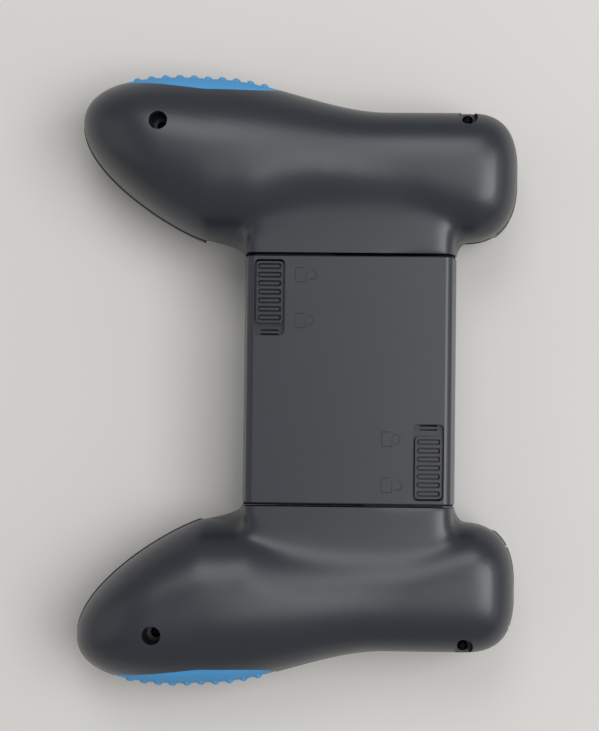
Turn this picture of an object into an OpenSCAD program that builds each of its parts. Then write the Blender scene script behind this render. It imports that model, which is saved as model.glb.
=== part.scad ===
// Telescopic phone game controller, lying face down with its back up.
// X runs from the right-hand grip (-X) to the left-hand grip (+X),
// Y towards the top edge with the shoulder keys, Z out of the back.
// Both grips are drawn on +X, where the distance from the middle plane is u,
// and the right-hand one is the mirror image.

/* [Grip] */
// Length of a grip from handle tip to top edge
grip_length = 118; // [112:1:124]
// Widest reach of the handle from the middle plane
handle_reach = 82; // [78:0.2:84]
// Reach of the top block from the middle plane
top_reach = 72.8; // [70:0.2:76]
// Reach of the grips' inner edge, where the jaw stands
jaw_reach = 37.8; // [36:0.2:40]
// Reach of the handle tip from the middle plane
tip_reach = 69.5; // [64:0.5:72]
// Height of the handle's back above the parting plane
handle_rise = 20.5; // [18:0.5:24]
// Height of the top block's back above the parting plane
top_rise = 17; // [15:0.5:20]
// Depth of the front half below the parting plane
front_drop = 12; // [11:0.2:14]
// Wall of the moulded halves
wall = 2.2; // [1.8:0.1:2.6]
// Amount by which the front half stands out past the back half
reveal = 0.3; // [0:0.1:0.5]

/* [Centre box] */
// Length of the box between the seams
box_length = 66.2; // [62:0.2:70]
// Width of the box at its foot
box_width = 57.5; // [54:0.5:60]
// Height of the box, the same as the grips' necks
box_height = 13.5; // [13:0.1:15]
// Y of the box middle
box_y = 14.2; // [12:0.2:16]
// Radius of the long back edges
edge_r = 2; // [1:0.2:3]
// Lean of the side walls over their height
edge_draft = 1.3; // [0:0.1:1.6]
// Gap at the seams between box and necks
seam_gap = 0.8; // [0.4:0.1:1.2]
// Wall of the box beside the tongue channels
box_wall = 1.6; // [1.4:0.1:2]
// Thickness of the back cover
cover_t = 2; // [1.6:0.1:2.4]
// Thickness of the tray floor
floor_t = 1.8; // [1.4:0.1:2.2]
// Width of the spine between the two tongue channels
spine_width = 7.6; // [7:0.2:9]

/* [Telescope] */
// Travel of each grip
grip_travel = 42; // [36:3:42]
// Pitch of the rack teeth
rack_pitch = 3; // [2:0.5:4]
// Depth of the rack notches
rack_depth = 1.3; // [1:0.1:1.5]
// Thickness of a tongue
tongue_t = 4; // [3.4:0.2:4.4]
// Length of a tongue inside the box
tongue_length = 58; // [54:1:62]

/* [Lock] */
// Length of a lock slider's knob
knob_length = 16.4; // [15:0.2:19]
// Width of the knob
knob_width = 7; // [6.5:0.1:8]
// Travel of the slider
lock_travel = 2.8; // [2:0.1:3.2]
// Height of the knob over the cover
knob_proud = 0.3; // [0.1:0.1:1]
// Number of finger grooves across the knob
knob_grooves = 7; // [5:1:8]
// Distance of the slot from the seam edge
slot_margin = 1.1; // [0.7:0.1:1.5]
// Distance of the slot from the box's long edge at its foot
slot_inset = 2; // [1.7:0.1:4]

/* [Stick] */
// Radius of the stick cap
cap_r = 7.5; // [6.5:0.25:8]
// Height of the stick cap over the face
cap_proud = 6.5; // [5.5:0.25:7]
// Depth of the stick pivot below the face
pivot_depth = 10; // [9.5:0.25:10.5]
// Tilt of the stick to each side about each axis
stick_tilt = 14; // [10:1:15]
// Distance of the stick axis from the grip's inner edge
stick_offset = 18.2; // [17:0.2:19]
// Y of the stick axis
stick_y = 4; // [2:0.5:5]

/* [Keys] */
// Distance of the middle of the key cluster from the top edge
cluster_drop = 26; // [25:0.5:27]
// Distance of the face keys from the middle of the cluster
cluster_r = 7.4; // [7:0.1:8]
// Radius of a face key
key_r = 4.3; // [3.8:0.1:4.5]
// Height of a key over the face
key_proud = 2.2; // [1.5:0.1:3]
// Travel of a key
key_travel = 0.9; // [0.5:0.1:1]
// Radius of a small key
small_r = 2.2; // [1.8:0.1:2.6]
// Height of a small key over the face
small_proud = 0.9; // [0.5:0.1:1.2]
// Half length of the direction cross
cross_half = 10; // [9:0.2:10.4]
// Width of the arms of the direction cross
cross_width = 7.4; // [6.5:0.1:8]
// Length of the shoulder keys along X
shoulder_length = 20; // [18:0.5:21]
// Swing of a shoulder key
shoulder_swing = 5; // [3:0.5:6]

/* [Inside] */
// Thickness of a circuit board
board_t = 1.6; // [1:0.1:1.8]
// Radius of the screw wells in the back
well_r = 2.5; // [2.2:0.1:2.8]
// Radius of a screw shank
shank_r = 1.2; // [1:0.1:1.3]
// Width, length and height of a battery cell
cell = [12, 24, 7];

/* [Clearances] */
// Gap between pieces that slide
slide_gap = 0.3; // [0.2:0.05:0.4]
// Gap between pieces that are seated on each other
seat_gap = 0.15; // [0.1:0.05:0.3]
// Gap between a pin and its bore
pin_gap = 0.06; // [0.05:0.01:0.1]

/* [Rubber] */
// Number of ribs on a grip insert
insert_ribs = 10; // [8:1:12]
// Spacing of the ribs on a grip insert
insert_pitch = 3.85; // [3.6:0.05:4]
// Distance of the first rib from the handle tip
insert_tip = 14.6; // [13:0.2:17]
// Depth of the recess that takes a grip insert
insert_sunk = 1.2; // [1:0.1:1.4]
// Height of the ribs over the shell
insert_proud = 1; // [0.5:0.1:1.2]
// Thickness of a jaw pad
pad_t = 1.4; // [1:0.1:1.6]
// Depth by which the jaw pads sit under the back shells' edge
jaw_sunk = 1; // [0.5:0.1:1.5]

/* [Hidden] */
$fn = 48;

right = -1;
left = 1;

charcoal = "#303236";
graphite = "#3d4045";
rubber_blue = "#2f8fdc";
rubber_black = "#1c1d1f";
steel = "#b9bcc0";
board_green = "#1f5a3a";
cell_silver = "#9aa3ab";

// Levels from the caps that the controller rests on
face_z = cap_proud;
part_z = face_z + front_drop;
box_top = part_z + box_height;
pivot_z = face_z + pivot_depth;
half_length = grip_length / 2;
seam_u = box_length / 2;
neck_u = seam_u + seam_gap;

// Grip outline: the handle tapers from handle_y to its tip, the top block rounds off from top_y
handle_y = 34 - half_length;
top_y = half_length - 15;
swell_y = [-24, 24];
handle_round = [1.35, 2.1];
top_round = 2.7;
top_lean = 0.8;
tip_bend = 1.1;
jaw_step_y = 33 - half_length;
jaw_end_y = half_length - 2.5;
jaw_u = jaw_reach + jaw_sunk;
pad_v = [jaw_step_y + 2, half_length - 13];

function smooth(t) = let (c = min(max(t, 0), 1)) c * c * (3 - 2 * c);
function mix(a, b, t) = a + (b - a) * t;
function round_off(t, n) = t <= 0 ? 1 : t >= 1 ? 0 : pow(1 - pow(t, n), 1 / n);
function signed_pow(a, n) = sign(a) * pow(abs(a), n);

// Outer edge between handle and top block
function side_u(v) = mix(handle_reach, top_reach, smooth((v - swell_y[0]) / (swell_y[1] - swell_y[0])));

// Middle and half width of the grip at v
function handle_t(v) = (handle_y - v) / (handle_y + half_length);
function top_t(v) = (v - top_y) / (half_length - top_y);
function plan_mid(v) =
  v < handle_y
    ? mix((handle_reach + jaw_reach) / 2, tip_reach, pow(handle_t(v), tip_bend))
    : (side_u(v) + jaw_reach) / 2 + top_lean * pow(max(top_t(v), 0), 2);
function handle_taper(t) = pow(1 - pow(min(max(t, 0), 1), handle_round[0]), 1 / handle_round[1]);
function plan_half(v) =
  (side_u(v) - jaw_reach) / 2 * handle_taper(handle_t(v)) * round_off(top_t(v), top_round);

// Height of the back and depth of the front at v, both rounded off at the two ends
back_round = [23, 10];
front_round = [17, 7];
function end_t(v, ends) = 1 - (half_length - abs(v)) / ends[v < 0 ? 0 : 1];
function back_rise(v) =
  mix(handle_rise, top_rise, smooth((v + 30) / 60))
  * round_off(end_t(v, back_round), v < 0 ? 2.2 : 2.6);
function front_fall(v) =
  mix(front_drop - 1, front_drop, smooth((v + 45) / 20))
  * round_off(end_t(v, front_round), v < 0 ? 2.2 : 2.8);
function back_power(v) = mix(2.2, 2.9, smooth((v + 20) / 50));
// The inner flank of the back leans more beside the neck, which leaves a saddle between the two
saddle_power = 1.55;
saddle_gain = 0.88;
function flank_power(v) =
  min(back_power(v), saddle_power + saddle_gain * pow(abs(v - box_y) / (box_width / 2), 2.6));
function front_power(v) = mix(2.6, 6, smooth((v + 50) / 26));

// Skin of one half as a closed solid: rings of a back or front arc, closed at level low
outer_mesh = [26, 16];
inner_mesh = [14, 10];

function ring(v, inset, up, low, arcs) =
  let (
    w = v * half_length / (half_length - inset),
    half = max(plan_half(w) - inset, 0.05),
    high = max((up ? back_rise(w) : front_fall(w)) - inset, 0.05),
    outer = up ? back_power(w) : front_power(w),
    inner = up ? flank_power(w) : outer
  )
  concat(
    [
      for (i = [0:arcs])
        let (a = 180 * i / arcs, p = a > 90 ? inner : outer)
        [
          plan_mid(w) + half * signed_pow(cos(a), 2 / p),
          v,
          part_z + (up ? 1 : -1) * high * pow(sin(a), 2 / p)
        ]
    ],
    low == 0 ? [] : [
      [plan_mid(w) - half, v, part_z - (up ? 1 : -1) * low],
      [plan_mid(w) + half, v, part_z - (up ? 1 : -1) * low]
    ]
  );

module loft(rings) {
  m = len(rings[0]);
  n = len(rings);
  polyhedron(
    points = [for (r = rings) each r],
    faces = concat(
      [[for (j = [0:m - 1]) j]],
      [
        for (i = [0:n - 2], j = [0:m - 1], k = [0, 1])
          let (a = i * m + j, b = i * m + (j + 1) % m)
          k == 0 ? [a, a + m, b + m] : [a, b + m, b]
      ],
      [[for (j = [m - 1:-1:0]) (n - 1) * m + j]]
    )
  );
}

module half_skin(inset, up, low = 0) {
  reach = half_length - inset - 0.04;
  mesh = inset > insert_sunk ? inner_mesh : outer_mesh;
  rings = [for (i = [0:mesh[0]]) ring(-reach * cos(180 * i / mesh[0]), inset, up, low, mesh[1])];
  if (up)
    loft([for (r = rings) [for (j = [len(r) - 1:-1:0]) r[j]]]);
  else
    loft(rings);
}

// Resolves its children to one moulded surface
module moulded() {
  resize([0, 0, 0]) children();
}

// Box section across Y, grown outwards at the sides and the back for the neck's flare
edge_steps = 6;
function box_section(grow, from = 0) =
  let (
    foot = box_width / 2 + grow,
    head = foot - edge_draft,
    top = box_height + grow,
    lean = edge_draft / box_height
  )
  concat(
    [[-foot + from * lean, from]],
    [
      for (i = [0:edge_steps])
        let (a = 180 - 90 * i / edge_steps)
        [-head + edge_r + edge_r * cos(a), top - edge_r + edge_r * sin(a)]
    ],
    [
      for (i = [0:edge_steps])
        let (a = 90 - 90 * i / edge_steps)
        [head - edge_r + edge_r * cos(a), top - edge_r + edge_r * sin(a)]
    ],
    [[foot - from * lean, from]]
  );

// Neck of a grip, flared where it runs into the bulge
flare_r = 9;
flare_share = 0.3;
flare_from = jaw_reach + 3.2;
neck_end = flare_from + flare_r;
neck_steps = 8;
function flare(u) =
  u <= flare_from ? 0 : flare_share * (flare_r - sqrt(flare_r * flare_r - pow(u - flare_from, 2)));

// Webs that sweep from the sides of the neck to the inner edge, wide at the handle and narrow at the top
web_width = [2.2, 10];
web_height = 8;
web_steps = 5;
function web(u, width) = width * pow(min(max((u - neck_u) / (jaw_reach - neck_u), 0), 1), 2);
function neck_section(u) =
  let (foot = box_width / 2 + flare(u), spread = u > flare_from ? [0, 0] : web_width)
  concat(
    [[-foot - web(u, spread[0]), 0]],
    box_section(flare(u), web_height),
    [[foot + web(u, spread[1]), 0]]
  );

module neck_skin() {
  stations = concat(
    [for (i = [0:web_steps]) mix(neck_u, jaw_reach, i / web_steps)],
    [for (i = [0:neck_steps]) mix(flare_from, neck_end - 0.6, i / neck_steps)]
  );
  loft([for (u = stations) [for (p = neck_section(u)) [u, box_y - p[0], part_z + p[1]]]]);
}

// Mirrors what is drawn on +X over to the side asked for
module on_side(side) {
  if (side == right)
    mirror([1, 0, 0]) children();
  else
    children();
}

// Turns what is drawn for the left half of the box about the middle of the box
module in_box(side) {
  translate([0, box_y, 0])
    rotate([0, 0, side == right ? 180 : 0])
      children();
}

module block(from, to) {
  translate(from)
    cube(to - from);
}

module rod(at, r, z0, z1, sides = 48) {
  translate([at[0], at[1], z0])
    cylinder(r = r, h = z1 - z0, $fn = sides);
}

// Telescope levels and the channel of the left tongue, measured from the box middle
tongue_z = part_z + floor_t + slide_gap;
tongue_top = tongue_z + tongue_t;
channel_v = [spine_width / 2, box_width / 2 - box_wall - edge_draft];
tongue_v = [channel_v[0] + slide_gap, channel_v[1] - slide_gap];
tongue_u0 = seam_u - tongue_length;
tongue_root = jaw_reach + 6.6;
channel_end = tongue_u0 - 3 * slide_gap;
lug = [2, 5, 1];
split_z = tongue_top + slide_gap;
cover_z = box_top - cover_t;

// Lock levels, with the left slider near the left seam
knob_gap = 0.6;
slot_length = knob_length + lock_travel + 2 * knob_gap;
slot_width = knob_width + 2 * knob_gap;
slot_u = [seam_u - slot_margin - slot_length, seam_u - slot_margin];
slot_v = [box_width / 2 - slot_inset - edge_draft - slot_width, box_width / 2 - slot_inset - edge_draft];
knob_u1 = slot_u[1] - knob_gap;
knob_u0 = knob_u1 - knob_length;
lock_u = (slot_u[0] + slot_u[1]) / 2;
lock_v = (slot_v[0] + slot_v[1]) / 2;
pawl_travel = lock_travel / 2;
base_t = 1;
base_z = cover_z - 0.1 - base_t;
groove_width = 1.35;
groove_depth = 0.8;
knob_rail = 0.4;
bridge_z = [split_z, split_z + 2.1];
bridge_u = [lock_u - 9, seam_u - 1.2];
stop_u = tongue_u0 + lug[0] + grip_travel + slide_gap;
pawl_length = 8;
pawl_width = 6.4;
pawl_tip_z = tongue_top + slide_gap;
tooth_height = rack_depth - 0.1;
ramp_length = 3.2;
ramp_low = bridge_z[1] + slide_gap;
ramp_high = ramp_low + ramp_length * pawl_travel / lock_travel;

// Screw places: two through each grip's case, two through each neck into its tongue
screw_v = [22 - half_length, half_length - 13.5];
case_screw = [[plan_mid(screw_v[0]) + 5.2, screw_v[0]], [side_u(screw_v[1]) - 1.8, screw_v[1]]];
case_seat_z = part_z + 6;
head_r = 2.2;
head_t = 1.8;
neck_screw_u = neck_u + 3.6;
neck_screw_dv = 6;
tray_screw = [[10, 0], [26, 0]];

// Key levels inside the front half
inner_z = face_z + wall;
inside_u = jaw_u + pad_t + wall;
flange_w = 0.8;
flange_t = 1.05;
flange_z = inner_z + slide_gap;
board_z = inner_z + 5.3;
membrane_z = board_z - seat_gap - 1.2;
cluster_u = (jaw_reach + top_reach) / 2;
cluster_y = half_length - cluster_drop;
stick_reach = jaw_reach + stick_offset;
small_v = (stick_y + cluster_y) / 2 - 0.3;
small_u = [inside_u + 4, side_u(small_v) - wall - 5.6];
dome_r = 10.8;
dish_r = 12.4;

// Shoulder keys swing on a pin along Z near the inner end of their pocket
pin_r = 1;
eye_r = pin_r + 1.4;
pocket_u = [inside_u + 1.8, inside_u + 4 + shoulder_length];
pin_at = [pocket_u[0] + 2.8, half_length - 6];
pocket_v = pin_at[1] - eye_r - 0.4;
bumper_z = [inner_z + 0.5, inner_z + 4.5];
trigger_z = [inner_z + 5, part_z - 0.5];

// Window of a grip insert: a leaf on the outer side, drawn in v and z
function leaf_edge(t, high) = high * pow(sin(180 * t), 0.25);
leaf_edges = [7, 12.2];
rib_edges = [5, 6];
insert_from = insert_tip - half_length;
leaf_u = tip_reach - 8;
leaf_v = [insert_from - 3.4, insert_from + insert_pitch * (insert_ribs - 1) + 2.4];
leaf_steps = 16;
function leaf(grow) = concat(
  [
    for (i = [0:leaf_steps])
      let (t = i / leaf_steps)
      [mix(leaf_v[0] - grow, leaf_v[1] + grow, t), part_z + 1.2 + leaf_edge(t, leaf_edges[1]) + grow]
  ],
  [
    for (i = [leaf_steps:-1:0])
      let (t = i / leaf_steps)
      [mix(leaf_v[0] - grow, leaf_v[1] + grow, t), part_z - 1.2 - leaf_edge(t, leaf_edges[0]) - grow]
  ]
);

module leaf_block(grow) {
  translate([leaf_u, 0, 0])
    rotate([90, 0, 90])
      linear_extrude(height = handle_reach + 8 - leaf_u)
        polygon(leaf(grow));
}

module insert_recess() {
  difference() {
    leaf_block(0);
    half_skin(insert_sunk, true, 0.5);
    half_skin(insert_sunk, false, 0.5);
  }
}

module rib_block(v) {
  block([leaf_u, v - 1, part_z - rib_edges[0]], [handle_reach + 8, v + 1, part_z + rib_edges[1]]);
}

module grip_insert(side) {
  color(rubber_blue)
    on_side(side)
      moulded()
        difference() {
          intersection() {
            leaf_block(-slide_gap / 2);
            union() {
              half_skin(0, true, 0.3);
              half_skin(0, false, 0.3);
              intersection() {
                union() {
                  half_skin(-insert_proud, true, 0.3);
                  half_skin(-insert_proud, false, 0.3);
                }
                for (i = [0:insert_ribs - 1])
                  rib_block(insert_from + insert_pitch * i);
              }
            }
          }
          half_skin(insert_sunk - seat_gap, true, 0.5);
          half_skin(insert_sunk - seat_gap, false, 0.5);
        }
}

module back_shell(side) {
  tongue_dir = side == left ? 1 : -1;
  tongue_mid = box_y + tongue_dir * (tongue_v[0] + tongue_v[1]) / 2;
  tongue_half = (tongue_v[1] - tongue_v[0]) / 2 + seat_gap;
  color(charcoal)
    on_side(side)
      difference() {
        moulded()
          difference() {
            union() {
              difference() {
                union() {
                  half_skin(0, true);
                  neck_skin();
                }
                half_skin(wall, true, 1);
              }
              intersection() {
                half_skin(0, true);
                union() {
                  for (s = case_screw)
                    rod(s, well_r + 1.4, part_z, box_top + 10, 20);
                  rod(pin_at, pin_r + 1.6, part_z + 0.4, part_z + 13, 20);
                }
              }
            }
            insert_recess();
            block(
              [neck_u - 1, tongue_mid - tongue_half, tongue_z - seat_gap],
              [tongue_root + 1, tongue_mid + tongue_half, tongue_top + seat_gap]
            );
          }
        for (s = case_screw) {
          rod(s, well_r, case_seat_z, box_top + 12);
          rod(s, shank_r + 0.1, part_z - 1, case_seat_z + 1);
        }
        rod(pin_at, pin_r + pin_gap, part_z - 1, part_z + 4);
        for (d = [-1, 1]) {
          at = [neck_screw_u, tongue_mid + d * neck_screw_dv];
          rod(at, head_r + 0.2, part_z - 1, part_z + head_t - 0.4);
          rod(at, shank_r + 0.1, part_z, part_z + 11);
        }
      }
}

module stick_holes() {
  translate([stick_reach, stick_y, pivot_z])
    sphere(r = dome_r + slide_gap);
  translate([stick_reach, stick_y, face_z - reveal - 0.01])
    cylinder(r1 = dish_r, r2 = dish_r - 1, h = reveal + 1);
}

// Hole of a round key, widened inside for its flange
module key_hole(at, r) {
  rod(at, r + slide_gap, 0, inner_z + 1);
  rod(at, r + flange_w + slide_gap, inner_z, flange_z + flange_t + key_travel + slide_gap);
}

function face_key_at(place) =
  [cluster_u + cluster_r * cos(90 * place), cluster_y + cluster_r * sin(90 * place)];

module key_holes(side) {
  if (side == right) {
    for (place = [0:3])
      key_hole(face_key_at(place), key_r);
  } else {
    translate([cluster_u, cluster_y, 0])
      linear_extrude(height = inner_z + 1)
        cross_outline(0.6);
    rod([cluster_u, cluster_y], cross_half + cross_flange_w + 0.6, inner_z, membrane_z);
  }
  for (u = small_u)
    key_hole([u, small_v], small_r);
}

module cross_outline(grow) {
  square([2 * (cross_half + grow), cross_width + 2 * grow], center = true);
  square([cross_width + 2 * grow, 2 * (cross_half + grow)], center = true);
}

port_size = [7.4, 9, 3.2];
port_at = [inside_u + 2, handle_y - 3];

module front_shell(side) {
  color(charcoal)
    on_side(side)
      difference() {
        moulded()
          difference() {
            union() {
              difference() {
                half_skin(-reveal, false);
                half_skin(wall, false, 1);
              }
              intersection() {
                half_skin(-reveal, false);
                union() {
                  for (s = case_screw)
                    rod(s, well_r + 0.8, face_z, part_z - seat_gap, 20);
                  for (s = board_posts)
                    rod(s, 2.2, face_z + 1, board_z - seat_gap, 20);
                  rod(pin_at, pin_r + 1.5, face_z + 1, bumper_z[0] - seat_gap, 20);
                  block([jaw_reach, jaw_step_y, face_z], [inside_u, jaw_end_y, part_z]);
                }
              }
              jaw_lip();
            }
            insert_recess();
            block([0, jaw_step_y, face_z + wall], [jaw_u + pad_t, jaw_end_y, part_z + 1]);
            block(
              [pocket_u[0], pocket_v, bumper_z[0] - slide_gap],
              [pocket_u[1], half_length + 2, part_z + 1]
            );
            port_mouth();
          }
        stick_holes();
        key_holes(side);
        for (s = case_screw)
          rod(s, shank_r + 0.1, case_seat_z - 14, part_z + 1);
        rod(pin_at, pin_r + pin_gap, face_z + 1, bumper_z[0] + 1);
      }
}

board_posts = [[inside_u + 3.1, jaw_step_y + 10], [inside_u + 22.6, jaw_step_y + 12]];
lip_v = [box_y - box_width / 2 + 5, box_y + box_width / 2 - 5];
lip_reach = 2.4;

module jaw_lip() {
  block([jaw_reach - lip_reach, lip_v[0], face_z], [jaw_reach + 6, lip_v[1], face_z + wall]);
}

module port_mouth() {
  translate([port_at[0] - 12, port_at[1] - port_size[1] / 2 - 0.2, board_z - seat_gap - port_size[2] - 0.2])
    cube([16, port_size[1] + 0.4, port_size[2] + 0.4]);
}

module jaw_pad(side) {
  color(rubber_blue)
    on_side(side)
      difference() {
        block(
          [jaw_u, pad_v[0], face_z + wall + slide_gap],
          [jaw_u + pad_t - seat_gap, pad_v[1], part_z - 0.6]
        );
        for (i = [1:2])
          block(
            [jaw_u - 1, pad_v[0] - 1, face_z + wall + 3 * i - 0.9],
            [jaw_u + 0.5, pad_v[1] + 1, face_z + wall + 3 * i]
          );
      }
}

module slide_tongue(side) {
  color(graphite)
    in_box(side)
      difference() {
        union() {
          block([tongue_u0, tongue_v[0], tongue_z], [tongue_root, tongue_v[1], tongue_top]);
          translate([tongue_u0, tongue_v[0], tongue_top - 1])
            cube(lug + [0, 0, 1]);
        }
        for (u = [rack_from:rack_pitch:rack_to])
          block(
            [u, tongue_v[1] - rack_width, tongue_top - rack_depth],
            [u + rack_pitch / 2 + 0.3, tongue_v[1] + 1, tongue_top + 1]
          );
        for (d = [-1, 1])
          rod(
            [neck_screw_u, (tongue_v[0] + tongue_v[1]) / 2 + d * neck_screw_dv],
            shank_r + 0.1, tongue_z - 1, tongue_top + 1
          );
      }
}

rack_width = tongue_v[1] - lock_v + pawl_width / 2 + slide_gap;
tooth_u = lock_u - rack_pitch / 4;
rack_from = tooth_u - 0.15 - rack_pitch * floor((tooth_u - 0.5 - tongue_u0) / rack_pitch);
rack_to = neck_u - 2 * rack_pitch;

module screw(at, seat_z, length, down) {
  translate([at[0], at[1], seat_z])
    rotate([down ? 180 : 0, 0, 0]) {
      difference() {
        cylinder(r = head_r, h = head_t - 0.5);
        for (a = [0, 90])
          rotate([0, 0, a])
            translate([-1.3, -0.25, head_t - 1.2])
              cube([2.6, 0.5, 2]);
      }
      translate([0, 0, -length])
        cylinder(r = shank_r, h = length + 0.1);
    }
}

module case_screws(side) {
  tongue_dir = side == left ? 1 : -1;
  color(steel)
    on_side(side) {
      for (s = case_screw)
        screw(s, case_seat_z + seat_gap, 13, false);
      for (d = [-1, 1])
        screw(
          [neck_screw_u, box_y + tongue_dir * (tongue_v[0] + tongue_v[1]) / 2 + d * neck_screw_dv],
          part_z + head_t - 0.4 - seat_gap, 8.6, true
        );
    }
}

// Board between the jaw wall, the outer wall and the two screw bosses
board_u0 = inside_u + 0.6;
board_v = [screw_v[0] + well_r + 2.5, pocket_v - 2.4];
function board_side(v) = side_u(v) - wall - 3.2;

module circuit_board(side) {
  top_u = case_screw[1][0] - well_r - 2;
  color(board_green)
    on_side(side)
      translate([0, 0, board_z])
        linear_extrude(height = board_t)
          difference() {
            polygon([
              [board_u0, board_v[0] + 9], [board_u0 + 3.5, board_v[0]],
              [board_side(board_v[0]) - 12, board_v[0]], [board_side(board_v[0]) - 5, board_v[0] + 10],
              [board_side(stick_y), stick_y], [top_u, cluster_y], [top_u, board_v[1]],
              [board_u0 + 3, board_v[1]], [board_u0, board_v[1] - 2]
            ]);
            translate([stick_reach, stick_y])
              circle(r = dome_r + 0.6);
          }
}

cell_at = [case_screw[0][0] - well_r - 3.5 - cell[0], 19 - half_length, board_z + board_t + seat_gap];

module battery(side) {
  color(cell_silver)
    on_side(side)
      translate(cell_at)
        cube(cell);
}

module key_membrane(side) {
  dome_h = side == right ? 1.2 : 0.5;
  color(rubber_black)
    on_side(side) {
      block([board_u0 + 0.3, cluster_y - 12, membrane_z], [cluster_u + 10, cluster_y + 12, membrane_z + 1.2]);
      for (place = [0:3])
        rod(face_key_at(place), 3, membrane_z - dome_h, membrane_z + 0.1);
    }
}

module charging_port(side) {
  color(steel)
    on_side(side)
      translate([port_at[0], port_at[1] - port_size[1] / 2, board_z - seat_gap - port_size[2]])
        difference() {
          cube(port_size);
          translate([-1, 0.4, 0.4])
            cube([port_size[0] - 0.4, port_size[1] - 0.8, port_size[2] - 0.8]);
          translate([-1.2, 1.2, 1.2])
            cube([1, 1, 1]);
        }
}

gimbal_r = 6.6;
post_u = [7.2, 8.8];
module_half = 10.6;
module_z = pivot_z + 4.2;

module at_stick(side) {
  on_side(side)
    translate([stick_reach, stick_y, 0])
      children();
}

module stick_module(side) {
  color(graphite)
    at_stick(side)
      difference() {
        union() {
          block([-module_half, -module_half, module_z], [module_half, module_half, module_z + 1.5]);
          for (d = [-1, 1])
            translate([d * (post_u[0] + post_u[1]) / 2, 0, (pivot_z - 1.9 + module_z + 1) / 2])
              cube([post_u[1] - post_u[0], 5.2, module_z + 2.9 - pivot_z], center = true);
          for (a = [-1, 1], b = [-1, 1])
            block(
              [a * (module_half - 1) - 1, b * (module_half - 1) - 1, board_z + board_t + seat_gap],
              [a * (module_half - 1) + 1, b * (module_half - 1) + 1, module_z + 1]
            );
        }
        translate([-module_half, 0, pivot_z])
          rotate([0, 90, 0])
            cylinder(r = pin_r + pin_gap, h = 2 * module_half);
      }
}

module stick_gimbal(side) {
  color(steel)
    at_stick(side)
      difference() {
        union() {
          rod([0, 0], gimbal_r, pivot_z - 1.6, pivot_z + 1.6);
          translate([-post_u[1], 0, pivot_z])
            rotate([0, 90, 0])
              cylinder(r = pin_r, h = 2 * post_u[1]);
        }
        rod([0, 0], gimbal_r - 1.6, pivot_z - 3, pivot_z + 3);
        translate([0, -gimbal_r - 1, pivot_z])
          rotate([-90, 0, 0])
            cylinder(r = pin_r + pin_gap, h = 2 * gimbal_r + 2);
      }
}

module stick_stem(side) {
  color(graphite)
    at_stick(side) {
      rod([0, 0], 3, pivot_z - 1.8, pivot_z + 1.8);
      translate([0, -gimbal_r, pivot_z])
        rotate([-90, 0, 0])
          cylinder(r = pin_r, h = 2 * gimbal_r);
      rod([0, 0], 1.8, 1.8, pivot_z);
      rod([0, 0], 1.4, pivot_z, pivot_z + 2.8);
    }
}

module stick_cap(side) {
  color(rubber_black)
    at_stick(side) {
      rotate_extrude()
        polygon([
          [0, 0.9], [3, 0.8], [5, 0.45], [6.2, 0], [cap_r - 0.6, 0], [cap_r - 0.1, 0.5], [cap_r, 1.2],
          [cap_r - 0.3, 2.1], [cap_r - 1, 2.5], [3, 2.9], [2.6, 3.6],
          [2.6, 6.4], [1.9, 6.4], [1.9, 1.7], [0, 1.7]
        ]);
      difference() {
        translate([0, 0, pivot_z])
          sphere(r = dome_r);
        translate([0, 0, pivot_z])
          sphere(r = dome_r - 1);
        rod([0, 0], 2, 0, pivot_z);
        rod([0, 0], dome_r + 1, pivot_z - 3.5, pivot_z + dome_r + 1);
      }
    }
}

module key(at, r, proud) {
  translate([at[0], at[1], 0])
    rotate_extrude()
      polygon([
        [0, face_z - proud], [r * 0.6, face_z - proud + 0.1], [r - 0.4, face_z - proud + 0.35],
        [r, face_z - proud + 0.8], [r, flange_z], [r + flange_w, flange_z],
        [r + flange_w, flange_z + flange_t], [0, flange_z + flange_t]
      ]);
}

module face_button(place) {
  color(graphite)
    on_side(right)
      key(face_key_at(place), key_r, key_proud);
}

module small_button(side, place) {
  color(graphite)
    on_side(side) {
      key([small_u[place], small_v], small_r, small_proud);
      rod([small_u[place], small_v], small_r - 0.6, flange_z, board_z - key_travel - 0.4);
    }
}

cross_flange_w = 1.2;
cross_flange_z = inner_z + 1.2;
cross_pivot_z = cross_flange_z + 1.6;
ball_r = 2.4;

module dpad_cross() {
  color(graphite)
    on_side(left)
      translate([cluster_u, cluster_y, 0])
        difference() {
          union() {
            translate([0, 0, face_z - key_proud])
              linear_extrude(height = cross_flange_z + 0.4 - face_z + key_proud)
                cross_outline(0);
            rod([0, 0], cross_half + cross_flange_w, cross_flange_z, cross_flange_z + 0.8);
          }
          translate([0, 0, face_z - key_proud - 9.2])
            sphere(r = 10);
          rod([0, 0], ball_r + 0.6, cross_flange_z - 1, cross_flange_z + 2);
        }
}

module dpad_pivot() {
  color(steel)
    on_side(left)
      translate([cluster_u, cluster_y, 0])
        difference() {
          translate([0, 0, cross_pivot_z])
            sphere(r = ball_r);
          rod([0, 0], ball_r + 1, membrane_z - 0.35, membrane_z + ball_r);
        }
}

module shoulder_key(z) {
  difference() {
    union() {
      intersection() {
        half_skin(-reveal, false);
        block([pocket_u[0] + 0.6, half_length - 5, z[0]], [pocket_u[1] - 0.6, half_length + 1, z[1]]);
      }
      rod(pin_at, eye_r, z[0], z[1]);
      block([pin_at[0] - eye_r + 0.2, pin_at[1], z[0]], [pin_at[0] + eye_r - 0.2, half_length - 4.4, z[1]]);
    }
    rod(pin_at, pin_r + pin_gap, z[0] - 1, z[1] + 1);
  }
}

module bumper(side) {
  color(graphite)
    on_side(side)
      shoulder_key(bumper_z);
}

module trigger(side) {
  color(graphite)
    on_side(side)
      shoulder_key(trigger_z);
}

module shoulder_pin(side) {
  color(steel)
    on_side(side)
      rod(pin_at, pin_r, face_z + 1.2, part_z + 3.6);
}

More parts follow.
